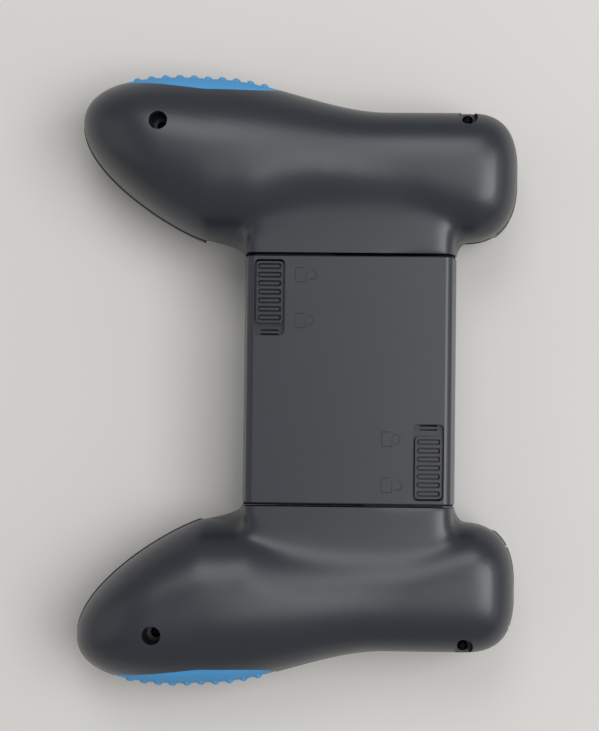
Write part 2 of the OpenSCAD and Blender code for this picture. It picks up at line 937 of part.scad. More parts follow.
module box_solid(from_u, to_u, section) {
  translate([from_u, box_y, part_z])
    rotate([90, 0, 90])
      linear_extrude(height = to_u - from_u)
        polygon(section);
}

module centre_back_cover() {
  color(charcoal)
    difference() {
      box_solid(-seam_u, seam_u, box_section(0, split_z - part_z));
      for (side = [right, left])
        in_box(side) {
          block([channel_end, channel_v[0], split_z - 1], [seam_u - 1, channel_v[1], cover_z]);
          block([slot_u[0], slot_v[0], cover_z - 1], [slot_u[1], slot_v[1], box_top + 1]);
          block([seam_u - 2, tongue_v[0], split_z - 1], [seam_u + 1, tongue_v[1], split_z + 0.2]);
        }
      for (side = [right, left], s = tray_screw)
        in_box(side)
          rod(s, shank_r + 0.1, split_z - 1, cover_z - 0.6);
    }
}

module centre_tray() {
  color(charcoal)
    difference() {
      box_solid(-seam_u, seam_u, tray_section);
      for (side = [right, left])
        in_box(side)
          block([channel_end, channel_v[0], part_z + floor_t], [seam_u + 1, channel_v[1], split_z + 1]);
      for (side = [right, left], s = tray_screw)
        in_box(side) {
          rod(s, shank_r + 0.1, part_z - 1, split_z + 1);
          rod(s, head_r + 0.2, part_z - 1, part_z + head_t - 0.4);
        }
      block(
        [-pad_half[0] - 0.2, box_y - pad_half[1] - 0.2, part_z - 1],
        [pad_half[0] + 0.2, box_y + pad_half[1] + 0.2, part_z + pad_seat]
      );
    }
}

tray_section = let (high = split_z - part_z - seat_gap, lean = edge_draft / box_height) [
  [-box_width / 2, 0], [-box_width / 2 + high * lean, high],
  [box_width / 2 - high * lean, high], [box_width / 2, 0]
];
pad_half = [seam_u - 6, box_width / 2 - 7];
pad_seat = 0.4;

module phone_rest_pad() {
  color(rubber_blue)
    difference() {
      block(
        [-pad_half[0], box_y - pad_half[1], part_z - 0.6],
        [pad_half[0], box_y + pad_half[1], part_z + pad_seat - seat_gap]
      );
      for (side = [right, left], s = tray_screw)
        in_box(side)
          rod(s, head_r + 0.4, part_z - 2, part_z + 2);
    }
}

module tray_screws() {
  color(steel)
    for (side = [right, left], s = tray_screw)
      in_box(side)
        screw(s, part_z + head_t - 0.4 - seat_gap, cover_z - part_z - head_t - 0.6, true);
}

module lock_bridge(side) {
  color(graphite)
    in_box(side)
      difference() {
        block(
          [bridge_u[0], channel_v[0] + seat_gap, bridge_z[0] + 0.1],
          [bridge_u[1], channel_v[1] - seat_gap, bridge_z[1]]
        );
        block(
          [bridge_u[0] - 1, channel_v[0] - 1, bridge_z[0] - 1],
          [stop_u, tongue_v[0] + lug[1] + slide_gap, bridge_z[1] + 1]
        );
        block(
          [lock_u - pawl_length / 2 - 0.25, lock_v - pawl_width / 2 - 0.25, bridge_z[0] - 1],
          [lock_u + pawl_length / 2 + 0.25, lock_v + pawl_width / 2 + 0.25, bridge_z[1] + 1]
        );
      }
}

module ramp_solid(points, width) {
  translate([lock_u, lock_v + width / 2, 0])
    rotate([90, 0, 0])
      linear_extrude(height = width)
        polygon(points);
}

module lock_slider(side) {
  groove_pitch = (knob_length - knob_rail) / knob_grooves;
  knob_mid = (knob_u0 + knob_u1) / 2;
  knob_top = box_top + knob_proud;
  base_u = slot_u[0] - lock_travel;
  color(graphite)
    in_box(side)
      difference() {
        union() {
          block([knob_u0, lock_v - knob_width / 2, base_z], [knob_u1, lock_v + knob_width / 2, knob_top]);
          block([base_u, slot_v[0] - 2, base_z], [knob_u1, channel_v[1] - slide_gap, base_z + base_t]);
          ramp_solid([
            [ramp_length / 2 + 5, ramp_low], [ramp_length / 2, ramp_low], [-ramp_length / 2, ramp_high],
            [-ramp_length / 2, base_z + 0.2], [ramp_length / 2 + 5, base_z + 0.2]
          ], pawl_width - 1);
        }
        for (i = [0:knob_grooves - 1])
          translate([knob_mid + groove_pitch * (i - (knob_grooves - 1) / 2), lock_v, knob_top])
            cube([groove_width, knob_width - 2 * knob_rail, 2 * groove_depth], center = true);
        block([slot_u[0], lock_v - 2.6, base_z + base_t / 2], [slot_u[0] + 1.3, lock_v + 2.6, cover_z]);
      }
}

module lock_pawl(side) {
  color(steel)
    in_box(side) {
      ramp_solid([
        [pawl_length / 2, pawl_tip_z + tooth_height], [pawl_length / 2, ramp_low - 0.12],
        [ramp_length / 2, ramp_low - 0.12], [-ramp_length / 2, ramp_high - 0.12],
        [-pawl_length / 2, ramp_high - 0.12], [-pawl_length / 2, pawl_tip_z + tooth_height]
      ], pawl_width);
      for (i = [-1, 0, 1])
        translate([tooth_u + rack_pitch * i + 0.15, lock_v - pawl_width / 2, pawl_tip_z])
          cube([rack_pitch / 2 - 0.3, pawl_width, tooth_height + 0.1]);
    }
}

centre_back_cover();
centre_tray();
phone_rest_pad();
tray_screws();
lock_bridge(right);  // right_lock_bridge
lock_bridge(left);  // left_lock_bridge
lock_slider(right);  // right_lock_slider
lock_slider(left);  // left_lock_slider
lock_pawl(right);  // right_lock_pawl
lock_pawl(left);  // left_lock_pawl
back_shell(right);  // right_back_shell
back_shell(left);  // left_back_shell
front_shell(right);  // right_front_shell
front_shell(left);  // left_front_shell
grip_insert(right);  // right_grip_insert
grip_insert(left);  // left_grip_insert
jaw_pad(right);  // right_jaw_pad
jaw_pad(left);  // left_jaw_pad
slide_tongue(right);  // right_slide_tongue
slide_tongue(left);  // left_slide_tongue
case_screws(right);  // right_case_screws
case_screws(left);  // left_case_screws
circuit_board(right);  // right_circuit_board
circuit_board(left);  // left_circuit_board
battery(right);  // right_battery
battery(left);  // left_battery
key_membrane(right);  // right_key_membrane
key_membrane(left);  // left_key_membrane
charging_port(right);  // right_charging_port
charging_port(left);  // left_charging_port
stick_module(right);  // right_stick_module
stick_module(left);  // left_stick_module
stick_gimbal(right);  // right_stick_gimbal
stick_gimbal(left);  // left_stick_gimbal
stick_stem(right);  // right_stick_stem
stick_stem(left);  // left_stick_stem
stick_cap(right);  // right_stick_cap
stick_cap(left);  // left_stick_cap
face_button(0);  // face_button_1
face_button(1);  // face_button_2
face_button(2);  // face_button_3
face_button(3);  // face_button_4
dpad_cross();
dpad_pivot();
small_button(right, 0);  // start_button
small_button(right, 1);  // home_button
small_button(left, 0);  // select_button
small_button(left, 1);  // mode_button
bumper(right);  // right_bumper
bumper(left);  // left_bumper
trigger(right);  // right_trigger
trigger(left);  // left_trigger
shoulder_pin(right);  // right_shoulder_pin
shoulder_pin(left);  // left_shoulder_pin
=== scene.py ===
"""Telescopic phone gamepad in its finished surfaces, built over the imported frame."""

import math
from types import SimpleNamespace

import bmesh
import bpy
from bpy.props import FloatProperty, FloatVectorProperty, IntProperty, PointerProperty
from mathutils import Matrix, Vector


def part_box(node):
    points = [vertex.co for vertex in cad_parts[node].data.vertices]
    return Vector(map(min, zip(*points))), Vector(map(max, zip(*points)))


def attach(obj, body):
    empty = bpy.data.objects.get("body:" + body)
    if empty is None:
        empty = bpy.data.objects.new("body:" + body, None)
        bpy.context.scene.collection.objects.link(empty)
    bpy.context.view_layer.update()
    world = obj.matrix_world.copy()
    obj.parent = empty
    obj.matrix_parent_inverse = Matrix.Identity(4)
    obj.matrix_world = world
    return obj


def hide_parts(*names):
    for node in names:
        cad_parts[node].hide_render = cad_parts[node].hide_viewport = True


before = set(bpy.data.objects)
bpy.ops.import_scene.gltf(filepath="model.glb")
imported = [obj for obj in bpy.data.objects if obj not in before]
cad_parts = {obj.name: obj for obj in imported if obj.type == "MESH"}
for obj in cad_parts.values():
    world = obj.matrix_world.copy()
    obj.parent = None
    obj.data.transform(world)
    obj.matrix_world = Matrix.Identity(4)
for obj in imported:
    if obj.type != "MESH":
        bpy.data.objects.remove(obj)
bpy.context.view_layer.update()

bl_info = {
    "name": "Telescopic Gamepad",
    "version": (1, 0, 0),
    "blender": (4, 5, 0),
    "location": "View3D > Sidebar > Gamepad",
    "description": "Builds a telescopic phone gamepad with its finishes and a studio stage",
    "category": "Object",
}

# Pieces are drawn in millimetres and brought to metres when they are placed
MM = 0.001
SIDES = {"right": -1, "left": 1}

# Clearances for what seats and for what slides, and how far cutters reach past a face and past everything
SEAT_GAP = 0.15
SLIDE_GAP = 0.3
PAST = 1
FAR = 120


def cad_box(node):
    """Lowest and highest corner of a CAD node in millimetres."""
    low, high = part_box(node)
    return low / MM, high / MM


def cad_middle(node):
    """Middle of a CAD node in millimetres."""
    low, high = cad_box(node)
    return (low + high) / 2


def linear(hex_code):
    """Linear colour of an sRGB hex value."""
    channels = [int(hex_code[i:i + 2], 16) / 255 for i in (1, 3, 5)]
    return tuple(c / 12.92 if c <= 0.04045 else ((c + 0.055) / 1.055) ** 2.4 for c in channels)


# Levels and places that the frame gives
COVER_LOW, COVER_HIGH = cad_box("centre_back_cover")
TRAY_LOW, TRAY_HIGH = cad_box("centre_tray")
PART_Z = TRAY_LOW.z
SPLIT_Z = COVER_LOW.z
BACK_Z = COVER_HIGH.z
SEAM_U = COVER_HIGH.x
BOX_Y = (TRAY_LOW.y + TRAY_HIGH.y) / 2
BOX_HALF = (TRAY_HIGH.y - TRAY_LOW.y) / 2


def length(name, description, millimetres):
    """Property for a length."""
    return FloatProperty(
        name=name, description=description, default=millimetres * MM, unit="LENGTH", precision=5
    )


def rotation(name, description, degrees):
    """Property for an angle."""
    return FloatProperty(name=name, description=description, default=math.radians(degrees), unit="ROTATION")


def count(name, description, number):
    """Property for a count."""
    return IntProperty(name=name, description=description, default=number, min=1)


def colour(name, description, hex_code):
    """Property for a colour."""
    return FloatVectorProperty(
        name=name, description=description, default=linear(hex_code), subtype="COLOR", min=0, max=1
    )


class GAMEPAD_PG_grip(bpy.types.PropertyGroup):
    """Outline and sections of the two grips"""

    grip_length: length("Grip length", "From handle tip to top edge", 118)
    handle_reach: length("Handle reach", "Widest reach of the handle from the middle plane", 82)
    top_reach: length("Top reach", "Reach of the top block from the middle plane", 72.8)
    jaw_reach: length("Jaw reach", "Reach of the inner edge from the middle plane", 37.8)
    tip_reach: length("Tip reach", "Reach of the handle tip from the middle plane", 69.5)
    handle_rise: length("Handle rise", "Height of the handle over the parting plane", 20.5)
    top_rise: length("Top rise", "Height of the top block over the parting plane", 17)
    front_drop: length("Front drop", "Depth of the front half below the parting plane", 12)
    wall: length("Wall", "Wall of the moulded halves", 2.2)
    reveal: length("Reveal", "Amount by which the front half stands out past the back half", 0.3)
    flare: length("Neck flare", "Radius of the neck's flare into the bulge", 9)
    web_handle: length("Handle web", "Width of the web between neck and handle", 10)
    web_top: length("Top web", "Width of the web between neck and top block", 2.2)
    web_height: length("Web height", "Height at which a web leaves the neck's side", 8)
    well_r: length("Well radius", "Radius of the screw wells in the back", 2.5)


class GAMEPAD_PG_box(bpy.types.PropertyGroup):
    """Centre box, its slots and the lock sliders"""

    edge_r: length("Edge radius", "Radius of the long back edges", 2)
    edge_draft: length("Edge draft", "Lean of the side walls over their height", 1.3)
    seam_gap: length("Seam gap", "Gap between the box and the necks", 0.8)
    cover_t: length("Cover thickness", "Thickness of the back cover", 2)
    knob_length: length("Knob length", "Length of a lock slider's knob", 16.4)
    knob_width: length("Knob width", "Width of a lock slider's knob", 7)
    knob_gap: length("Knob gap", "Gap between the knob and its slot", 0.6)
    lock_travel: length("Lock travel", "Travel of a lock slider", 2.8)
    slot_margin: length("Slot margin", "Distance of the slot from the seam", 1.1)
    slot_inset: length("Slot inset", "Distance of the slot from the head of the side wall", 2)
    knob_grooves: count("Knob grooves", "Finger grooves across the knob", 7)
    groove_width: length("Groove width", "Width of a finger groove", 1.6)
    groove_depth: length("Groove depth", "Depth of a finger groove", 2.1)
    groove_moat: length("Groove moat", "Width of the moat around the bar in a finger groove", 0.48)


class GAMEPAD_PG_rubber(bpy.types.PropertyGroup):
    """Rubber inserts on the handles"""

    ribs: count("Ribs", "Ribs on a grip insert", 10)
    rib_pitch: length("Rib pitch", "Spacing of the ribs", 3.85)
    first_rib: length("First rib", "Distance of the first rib from the handle tip", 14.6)
    rib_radius: length("Rib radius", "Radius of a rib's round back", 1)
    sunk: length("Sunk", "Depth of the recess that takes the insert", 1.2)
    upper: length("Upper reach", "Height of the leaf over the parting plane", 12.2)
    lower: length("Lower reach", "Depth of the leaf under the parting plane", 7)
    rib_upper: length("Upper rib end", "Height of the ribs over the parting plane", 6)
    rib_lower: length("Lower rib end", "Depth of the ribs under the parting plane", 5)


class GAMEPAD_PG_finish(bpy.types.PropertyGroup):
    """Colours of the materials"""

    shell: colour("Shell", "Charcoal of the moulded shells", "#1f242c")
    keys: colour("Keys", "Graphite of the keys and sliders", "#1c1f26")
    insert: colour("Insert", "Azure of the soft rubber", "#3f92cb")
    stick: colour("Stick", "Black of the silicone caps", "#1b1c1e")
    steel: colour("Steel", "Zinc on the pins and inner metal", "#b4b7ba")
    # The screws' near black is painted shade, which keeps the screw wells dark down to their floors
    screw: colour("Screw", "Black oxide on the screws", "#121315")
    board: colour("Board", "Green of the solder mask", "#1f5a3a")
    floor: colour("Floor", "Pale laminate of the table", "#c7c5c2")


class GAMEPAD_PG_camera(bpy.types.PropertyGroup):
    """Camera over the back of the gamepad"""

    distance: length("Distance", "From the camera to the back", 600)
    lens: FloatProperty(
        name="Lens", description="Focal length over a 36 mm sensor", default=133.87, unit="CAMERA"
    )
    tip: rotation("Tip", "Lean towards the top edge", -2.29)
    lean: rotation("Lean", "Lean towards the left grip", -1.62)
    roll: rotation("Roll", "Turn of the picture", 0.66)
    shift_x: FloatProperty(name="Shift X", description="Shift of the frame to the right", default=0.0052)
    shift_y: FloatProperty(name="Shift Y", description="Shift of the frame upwards", default=0.0241)


class GAMEPAD_PG_settings(bpy.types.PropertyGroup):
    """All settings of the gamepad"""

    grip: PointerProperty(type=GAMEPAD_PG_grip)
    box: PointerProperty(type=GAMEPAD_PG_box)
    rubber: PointerProperty(type=GAMEPAD_PG_rubber)
    finish: PointerProperty(type=GAMEPAD_PG_finish)
    camera: PointerProperty(type=GAMEPAD_PG_camera)


def settings():
    """The scene's gamepad settings."""
    return bpy.context.scene.gamepad


def in_mm(group):
    """Sizes of a property group in millimetres, with its counts as they are."""
    values = {name: getattr(group, name) for name in group.__annotations__}
    return SimpleNamespace(**{k: v if isinstance(v, int) else v / MM for k, v in values.items()})


# Small shape functions
def mix(a, b, t):
    """Point at share t between a and b."""
    return a + (b - a) * t


def ramp(start, end, steps):
    """Evenly spaced values from start to end."""
    return [mix(start, end, i / steps) for i in range(steps + 1)]


def smooth(t):
    """Ease from 0 to 1."""
    c = min(max(t, 0), 1)
    return c * c * (3 - 2 * c)


def stretch(value, ends):
    """Ease from 0 to 1 while the value goes from the first to the second end."""
    return smooth((value - ends[0]) / (ends[1] - ends[0]))


def round_off(t, power):
    """Falls from 1 to 0 as a superellipse quarter while t goes from 0 to 1."""
    if t <= 0:
        return 1
    return (1 - t ** power) ** (1 / power) if t < 1 else 0


def signed_pow(a, power):
    """Power that keeps the sign."""
    return math.copysign(abs(a) ** power, a)


def arc(middle, radius, start, end, steps):
    """Points of an arc in a plane, angles in degrees."""
    angles = [math.radians(a) for a in ramp(start, end, steps)]
    return [(middle[0] + radius * math.cos(a), middle[1] + radius * math.sin(a)) for a in angles]


def rounded_rectangle(low, high, radius, steps=6):
    """Outline of a rectangle with round corners."""
    corners = (
        (high[0] - radius, high[1] - radius, 0), (low[0] + radius, high[1] - radius, 90),
        (low[0] + radius, low[1] + radius, 180), (high[0] - radius, low[1] + radius, 270),
    )
    return [p for x, y, a in corners for p in arc((x, y), radius, a, a + 90, steps)]


class GripForm:
    """Outline and sections of a grip on +X in millimetres: u from the middle plane, v along the grip."""

    # Outline: length of the handle's taper and the top's rounding, swell of the handle, and curve powers
    HANDLE_TAPER = 34
    TOP_ROUNDING = 15
    SWELL = (-24, 24)
    HANDLE_ROUND = (1.35, 2.1)
    TOP_ROUND = 2.7
    TOP_LEAN = 0.8
    TIP_BEND = 1.1
    # Stretches of v in which height and squareness change from the handle to the top block
    BACK_TURN = (-30, 30)
    FRONT_TURN = (-45, -25)
    BACK_SQUARING = (-20, 30)
    FRONT_SQUARING = (-50, -24)
    BACK_SQUARENESS = (2.2, 2.9)
    FRONT_SQUARENESS = (2.6, 6)
    FRONT_LIFT = 1
    # Length and squareness of the rounded ends, at the handle and at the top
    BACK_ENDS = (23, 10)
    FRONT_ENDS = (17, 7)
    BACK_END_ROUND = (2.2, 2.6)
    FRONT_END_ROUND = (2.2, 2.8)
    SADDLE_POWER = 1.55
    SADDLE_GAIN = 0.88
    SADDLE_SPREAD = 2.6
    FLARE_SHARE = 0.3
    # Case screws: distance from both ends, inset from middle and outer side, height of the wells' floors
    SCREW_ENDS = (22, 13.5)
    SCREW_INSETS = (5.2, 1.8)
    WELL_FLOORS = (6, 2)
    TIP = 0.04
    THINNEST = 0.05
    HIGHEST_SHARE = 0.999

    def __init__(self):
        self.size = in_mm(settings().grip)
        self.half = self.size.grip_length / 2
        self.handle_v = self.HANDLE_TAPER - self.half
        self.top_v = self.half - self.TOP_ROUNDING

    def side_u(self, v):
        """Reach of the outer side at v, where the handle swells."""
        return mix(self.size.handle_reach, self.size.top_reach, stretch(v, self.SWELL))

    def handle_t(self, v):
        """Share of the way down the handle's taper, 1 at its tip."""
        return (self.handle_v - v) / (self.handle_v + self.half)

    def top_t(self, v):
        """Share of the way up the top's rounding, 1 at the top edge."""
        return (v - self.top_v) / (self.half - self.top_v)

    def middle(self, v):
        """Middle of the outline at v."""
        size = self.size
        if v < self.handle_v:
            share = min(self.handle_t(v), 1) ** self.TIP_BEND
            return mix((size.handle_reach + size.jaw_reach) / 2, size.tip_reach, share)
        return (self.side_u(v) + size.jaw_reach) / 2 + self.TOP_LEAN * max(self.top_t(v), 0) ** 2

    def half_width(self, v):
        """Half width of the outline at v."""
        share = min(max(self.handle_t(v), 0), 1)
        taper = (1 - share ** self.HANDLE_ROUND[0]) ** (1 / self.HANDLE_ROUND[1])
        full = (self.side_u(v) - self.size.jaw_reach) / 2
        return full * taper * round_off(self.top_t(v), self.TOP_ROUND)

    def end_round(self, v, ends, powers):
        """Share of the height that the rounded ends leave at v."""
        end = 0 if v < 0 else 1
        return round_off(1 - (self.half - abs(v)) / ends[end], powers[end])

    def height(self, v, back):
        """Height of the back, or depth of the front, at v."""
        size = self.size
        if back:
            full = mix(size.handle_rise, size.top_rise, stretch(v, self.BACK_TURN))
            return full * self.end_round(v, self.BACK_ENDS, self.BACK_END_ROUND)
        full = mix(size.front_drop - self.FRONT_LIFT, size.front_drop, stretch(v, self.FRONT_TURN))
        return full * self.end_round(v, self.FRONT_ENDS, self.FRONT_END_ROUND)

    def power(self, v, back):
        """Squareness of the section at v."""
        if back:
            return mix(*self.BACK_SQUARENESS, stretch(v, self.BACK_SQUARING))
        return mix(*self.FRONT_SQUARENESS, stretch(v, self.FRONT_SQUARING))

    def flank_power(self, v, back):
        """Squareness of the inner flank, which leans more beside the neck and leaves a saddle there."""
        if not back:
            return self.power(v, back)
        share = abs(v - BOX_Y) / BOX_HALF
        return min(self.power(v, back), self.SADDLE_POWER + self.SADDLE_GAIN * share ** self.SADDLE_SPREAD)

    def section(self, v, inset, back):
        """Middle, half width, height and squareness, outer and inner, at v of a skin set in by inset."""
        w = v * self.half / (self.half - inset)
        half = max(self.half_width(w) - inset, self.THINNEST)
        high = max(self.height(w, back) - inset, self.THINNEST)
        return self.middle(w), half, high, self.power(w, back), self.flank_power(w, back)

    def skin(self, name, inset, back, below=0, along=110, around=72):
        """Closed solid of one half, with straight sides past the parting plane."""
        reach = self.half - inset - self.TIP
        up = 1 if back else -1
        rings = []
        for i in range(along + 1):
            v = -reach * math.cos(math.pi * i / along)
            mid, half, high, outer, inner = self.section(v, inset, back)
            ring = []
            for k in range(around + 1):
                a = math.pi * k / around
                power = inner if 2 * k > around else outer
                rise = high * max(math.sin(a), 0) ** (2 / power)
                ring.append((mid + half * signed_pow(math.cos(a), 2 / power), v, PART_Z + up * rise))
            if below:
                ring += [(mid - half, v, PART_Z - up * below), (mid + half, v, PART_Z - up * below)]
            rings.append(ring)
        return loft(name, rings)

    def outer_point(self, v, rise, proud):
        """Point on the outer side at v, at a rise over the parting plane, standing proud of the skin."""
        back = rise >= 0
        inset = -proud if back else -proud - self.size.reveal
        mid, half, high, power, _ = self.section(v, inset, back)
        share = min(abs(rise) / high, self.HIGHEST_SHARE)
        return Vector((mid + half * (1 - share ** power) ** (1 / power), v, PART_Z + rise))

    def case_screws(self):
        """Places of the two screws through the case."""
        low, high = self.SCREW_ENDS[0] - self.half, self.half - self.SCREW_ENDS[1]
        from_middle, from_side = self.SCREW_INSETS
        return [(self.middle(low) + from_middle, low), (self.side_u(high) - from_side, high)]


# Mesh helpers
# Distances within which points of CAD copies and of pieces are merged, and angle of faces that count as flat
CAD_MERGE = 0.001
PIECE_MERGE = 0.0005
CAD_FLAT = math.radians(1)


def as_object(name, bm):
    """Object with the mesh of bm, faces outwards."""
    bmesh.ops.recalc_face_normals(bm, faces=bm.faces)
    mesh = bpy.data.meshes.new(name)
    bm.to_mesh(mesh)
    bm.free()
    obj = bpy.data.objects.new(name, mesh)
    bpy.context.scene.collection.objects.link(obj)
    return obj


def loft(name, rings):
    """Closed solid through rings of equal count."""
    bm = bmesh.new()
    loops = [[bm.verts.new(p) for p in ring] for ring in rings]
    for a, b in zip(loops, loops[1:]):
        for i in range(len(a)):
            j = (i + 1) % len(a)
            bm.faces.new((a[i], a[j], b[j], b[i]))
    bm.faces.new(loops[0])
    bm.faces.new(loops[-1])
    return as_object(name, bm)


def prism(name, outline, low, high):
    """Outline in X and Y drawn up from low to high."""
    return loft(name, [[(x, y, z) for x, y in outline] for z in (low, high)])


def block(name, low, high):
    """Plain cutter between two corners."""
    outline = [(low[0], low[1]), (high[0], low[1]), (high[0], high[1]), (low[0], high[1])]
    return prism(name, outline, low[2], high[2])


def rod(name, at, radius, low, high, sides=48):
    """Upright round bar."""
    return prism(name, arc(at, radius, 0, 360, sides)[:-1], low, high)


def lathe(name, at, profile, sides=80):
    """Solid of revolution about an upright axis; the profile of radius and height starts and ends on it."""
    bm = bmesh.new()
    rows = []
    for radius, z in profile:
        ring = arc(at, radius, 0, 360, sides)[:-1] if radius else [at]
        rows.append([bm.verts.new((p[0], p[1], z)) for p in ring])
    for a, b in zip(rows, rows[1:]):
        for i in range(sides):
            j = i + 1
            # A ring on the axis is one point, so that faces there have three corners
            corners = (a[i % len(a)], a[j % len(a)], b[j % len(b)], b[i % len(b)])
            bm.faces.new(list(dict.fromkeys(corners)))
    return as_object(name, bm)


def settle(obj):
    """Turns the evaluated object into a plain mesh and drops its modifiers."""
    graph = bpy.context.evaluated_depsgraph_get()
    mesh = bpy.data.meshes.new_from_object(
        obj.evaluated_get(graph), preserve_all_data_layers=True, depsgraph=graph
    )
    plain = obj.data
    obj.modifiers.clear()
    obj.data = mesh
    bpy.data.meshes.remove(plain)
    if not mesh.polygons:
        raise RuntimeError(obj.name + " came out empty")
    return obj


def carve(obj, cutters, operation="DIFFERENCE"):
    """Cuts obj by the cutters, joins them to it or keeps what they share, and removes them."""
    for cutter in cutters:
        step = obj.modifiers.new("carve", "BOOLEAN")
        step.solver = "MANIFOLD"
        step.operation = operation
        step.object = cutter
    settle(obj)
    for cutter in cutters:
        bpy.data.objects.remove(cutter)
    return obj


def soften(obj, width, segments=2, angle=35):
    """Rounds the sharp edges."""
    step = obj.modifiers.new("soften", "BEVEL")
    step.width = width
    step.segments = segments
    step.limit_method = "ANGLE"
    step.angle_limit = math.radians(angle)
    step.harden_normals = False
    return settle(obj)


def twin(obj, name):
    """Copy of an object with a mesh of its own."""
    other = obj.copy()
    other.data = obj.data.copy()
    other.name = name
    bpy.context.scene.collection.objects.link(other)
    return other


def cad_copy(node, name):
    """Merged copy of a CAD node in millimetres, with flat faces joined."""
    bm = bmesh.new()
    bm.from_mesh(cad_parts[node].data)
    bmesh.ops.scale(bm, vec=Vector((1, 1, 1)) / MM, verts=bm.verts)
    bmesh.ops.remove_doubles(bm, verts=bm.verts, dist=CAD_MERGE)
    bmesh.ops.dissolve_limit(bm, angle_limit=CAD_FLAT, verts=bm.verts, edges=bm.edges)
    return as_object(name, bm)


def place(obj, body, material, nodes=(), mirrored=False, crease=34):
    """Brings a finished piece to metres, gives it its finish and lets it ride on its body."""
    mesh = obj.data
    bm = bmesh.new()
    bm.from_mesh(mesh)
    if mirrored:
        bmesh.ops.scale(bm, vec=(-1, 1, 1), verts=bm.verts)
    bmesh.ops.remove_doubles(bm, verts=bm.verts, dist=PIECE_MERGE)
    bmesh.ops.recalc_face_normals(bm, faces=bm.faces)
    bmesh.ops.scale(bm, vec=(MM, MM, MM), verts=bm.verts)
    bm.to_mesh(mesh)
    bm.free()
    mesh.materials.clear()
    mesh.materials.append(material)
    mesh.shade_smooth()
    mesh.set_sharp_from_angle(angle=math.radians(crease))
    normals = obj.modifiers.new("normals", "WEIGHTED_NORMAL")
    normals.keep_sharp = True
    settle(obj)
    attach(obj, body)
    if nodes:
        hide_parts(*nodes)
    return obj


# Node trees
# Sockets of a colour mix by number, since numbers and colours share their names there
MIX_FACTOR = 0
MIX_A = 6
MIX_B = 7
MIX_COLOUR = 2


def add(tree, kind, inputs=None, **options):
    """Adds one node with its settings, values and links."""
    node = tree.nodes.new(kind)
    for name, value in options.items():
        setattr(node, name, value)
    for key, value in (inputs or {}).items():
        if isinstance(value, bpy.types.NodeSocket):
            tree.links.new(value, node.inputs[key])
        else:
            node.inputs[key].default_value = value
    return node


def per_metre(millimetres):
    """Noise scale on Object coordinates for a grain of that size."""
    return 1 / (millimetres * MM)


def new_material(name):
    """Node material with its surface shader and Object coordinates."""
    material = bpy.data.materials.new(name)
    material.use_nodes = True
    tree = material.node_tree
    tree.nodes.clear()
    surface = add(tree, "ShaderNodeBsdfPrincipled")
    add(tree, "ShaderNodeOutputMaterial", {"Surface": surface.outputs["BSDF"]})
    where = add(tree, "ShaderNodeTexCoord").outputs["Object"]
    return material, tree, surface, where


def shade(rgb, factor):
    """Lighter or darker version of a colour, as a socket value."""
    return tuple(min(c * factor, 1) for c in rgb) + (1,)


def grained(name, rgb, ior, rough, grain_mm, depth_mm, patch_mm=14, spread=0.12, sheen_spread=0.06):
    """Material with cloudy patches in its colour and a fine grain in its relief and roughness."""
    material, tree, surface, where = new_material(name)
    # Real grain is finer than it is drawn here, which is as coarse as it needs to show
    patch = add(tree, "ShaderNodeTexNoise", {"Vector": where, "Scale": per_metre(patch_mm), "Detail": 4})
    dark, light = shade(rgb, 1 - spread), shade(rgb, 1 + spread)
    tone = add(
        tree, "ShaderNodeMix", {MIX_FACTOR: patch.outputs["Fac"], MIX_A: dark, MIX_B: light}, data_type="RGBA"
    )
    grain = add(tree, "ShaderNodeTexNoise", {"Vector": where, "Scale": per_metre(grain_mm), "Detail": 2})
    relief = add(
        tree, "ShaderNodeBump", {"Height": grain.outputs["Fac"], "Strength": 1, "Distance": depth_mm * MM}
    )
    sheen = add(
        tree, "ShaderNodeMapRange",
        {"Value": grain.outputs["Fac"], "To Min": rough - sheen_spread, "To Max": rough + sheen_spread},
    )
    surface.inputs["IOR"].default_value = ior
    tree.links.new(tone.outputs[MIX_COLOUR], surface.inputs["Base Color"])
    tree.links.new(relief.outputs["Normal"], surface.inputs["Normal"])
    tree.links.new(sheen.outputs["Result"], surface.inputs["Roughness"])
    return material


def charcoal_abs():
    """Spark-eroded ABS: an even matt charcoal whose fine pits spread every highlight into a soft band."""
    # Real pits are about 0.05 mm wide and are drawn at 0.3 mm so that they show
    return grained(
        "charcoal_abs_spark_eroded", settings().finish.shell,
        ior=1.54, rough=0.34, grain_mm=0.3, depth_mm=0.006,
    )


def graphite_abs():
    """Satin moulded ABS: smoother and a little darker, so that edges catch a thin line of light."""
    return grained(
        "graphite_abs_satin", settings().finish.keys, ior=1.54, rough=0.32, grain_mm=0.4, depth_mm=0.004
    )


def azure_rubber():
    """Matt moulded soft rubber: an azure that keeps its colour in light and shade, with a dry surface."""
    return grained(
        "azure_tpe_moulded", settings().finish.insert,
        ior=1.5, rough=0.66, grain_mm=0.25, depth_mm=0.012, patch_mm=8, spread=0.05,
    )


def black_silicone():
    """Moulded silicone: deep black with a waxy, wide sheen."""
    return grained(
        "black_silicone_moulded", settings().finish.stick,
        ior=1.43, rough=0.6, grain_mm=0.25, depth_mm=0.01, patch_mm=6,
    )


def pad_ink():
    """Pad-printed ink: dull black strokes that show against the shell only where it shines."""
    return grained(
        "black_ink_pad_printed", linear("#26292e"),
        ior=1.5, rough=0.6, grain_mm=0.2, depth_mm=0.004, patch_mm=4,
    )


def acetal():
    """Moulded acetal: smooth dark slides with a slippery gloss."""
    return grained(
        "dark_acetal_moulded", linear("#2c2e31"), ior=1.48, rough=0.35, grain_mm=0.6, depth_mm=0.004
    )


def table_laminate():
    """Pressed laminate of the table: a warm pale grey with faint clouds and a broad, weak sheen."""
    return grained(
        "pale_laminate_pressed", settings().finish.floor,
        ior=1.5, rough=0.6, grain_mm=1.2, depth_mm=0.004, patch_mm=60, spread=0.015,
    )


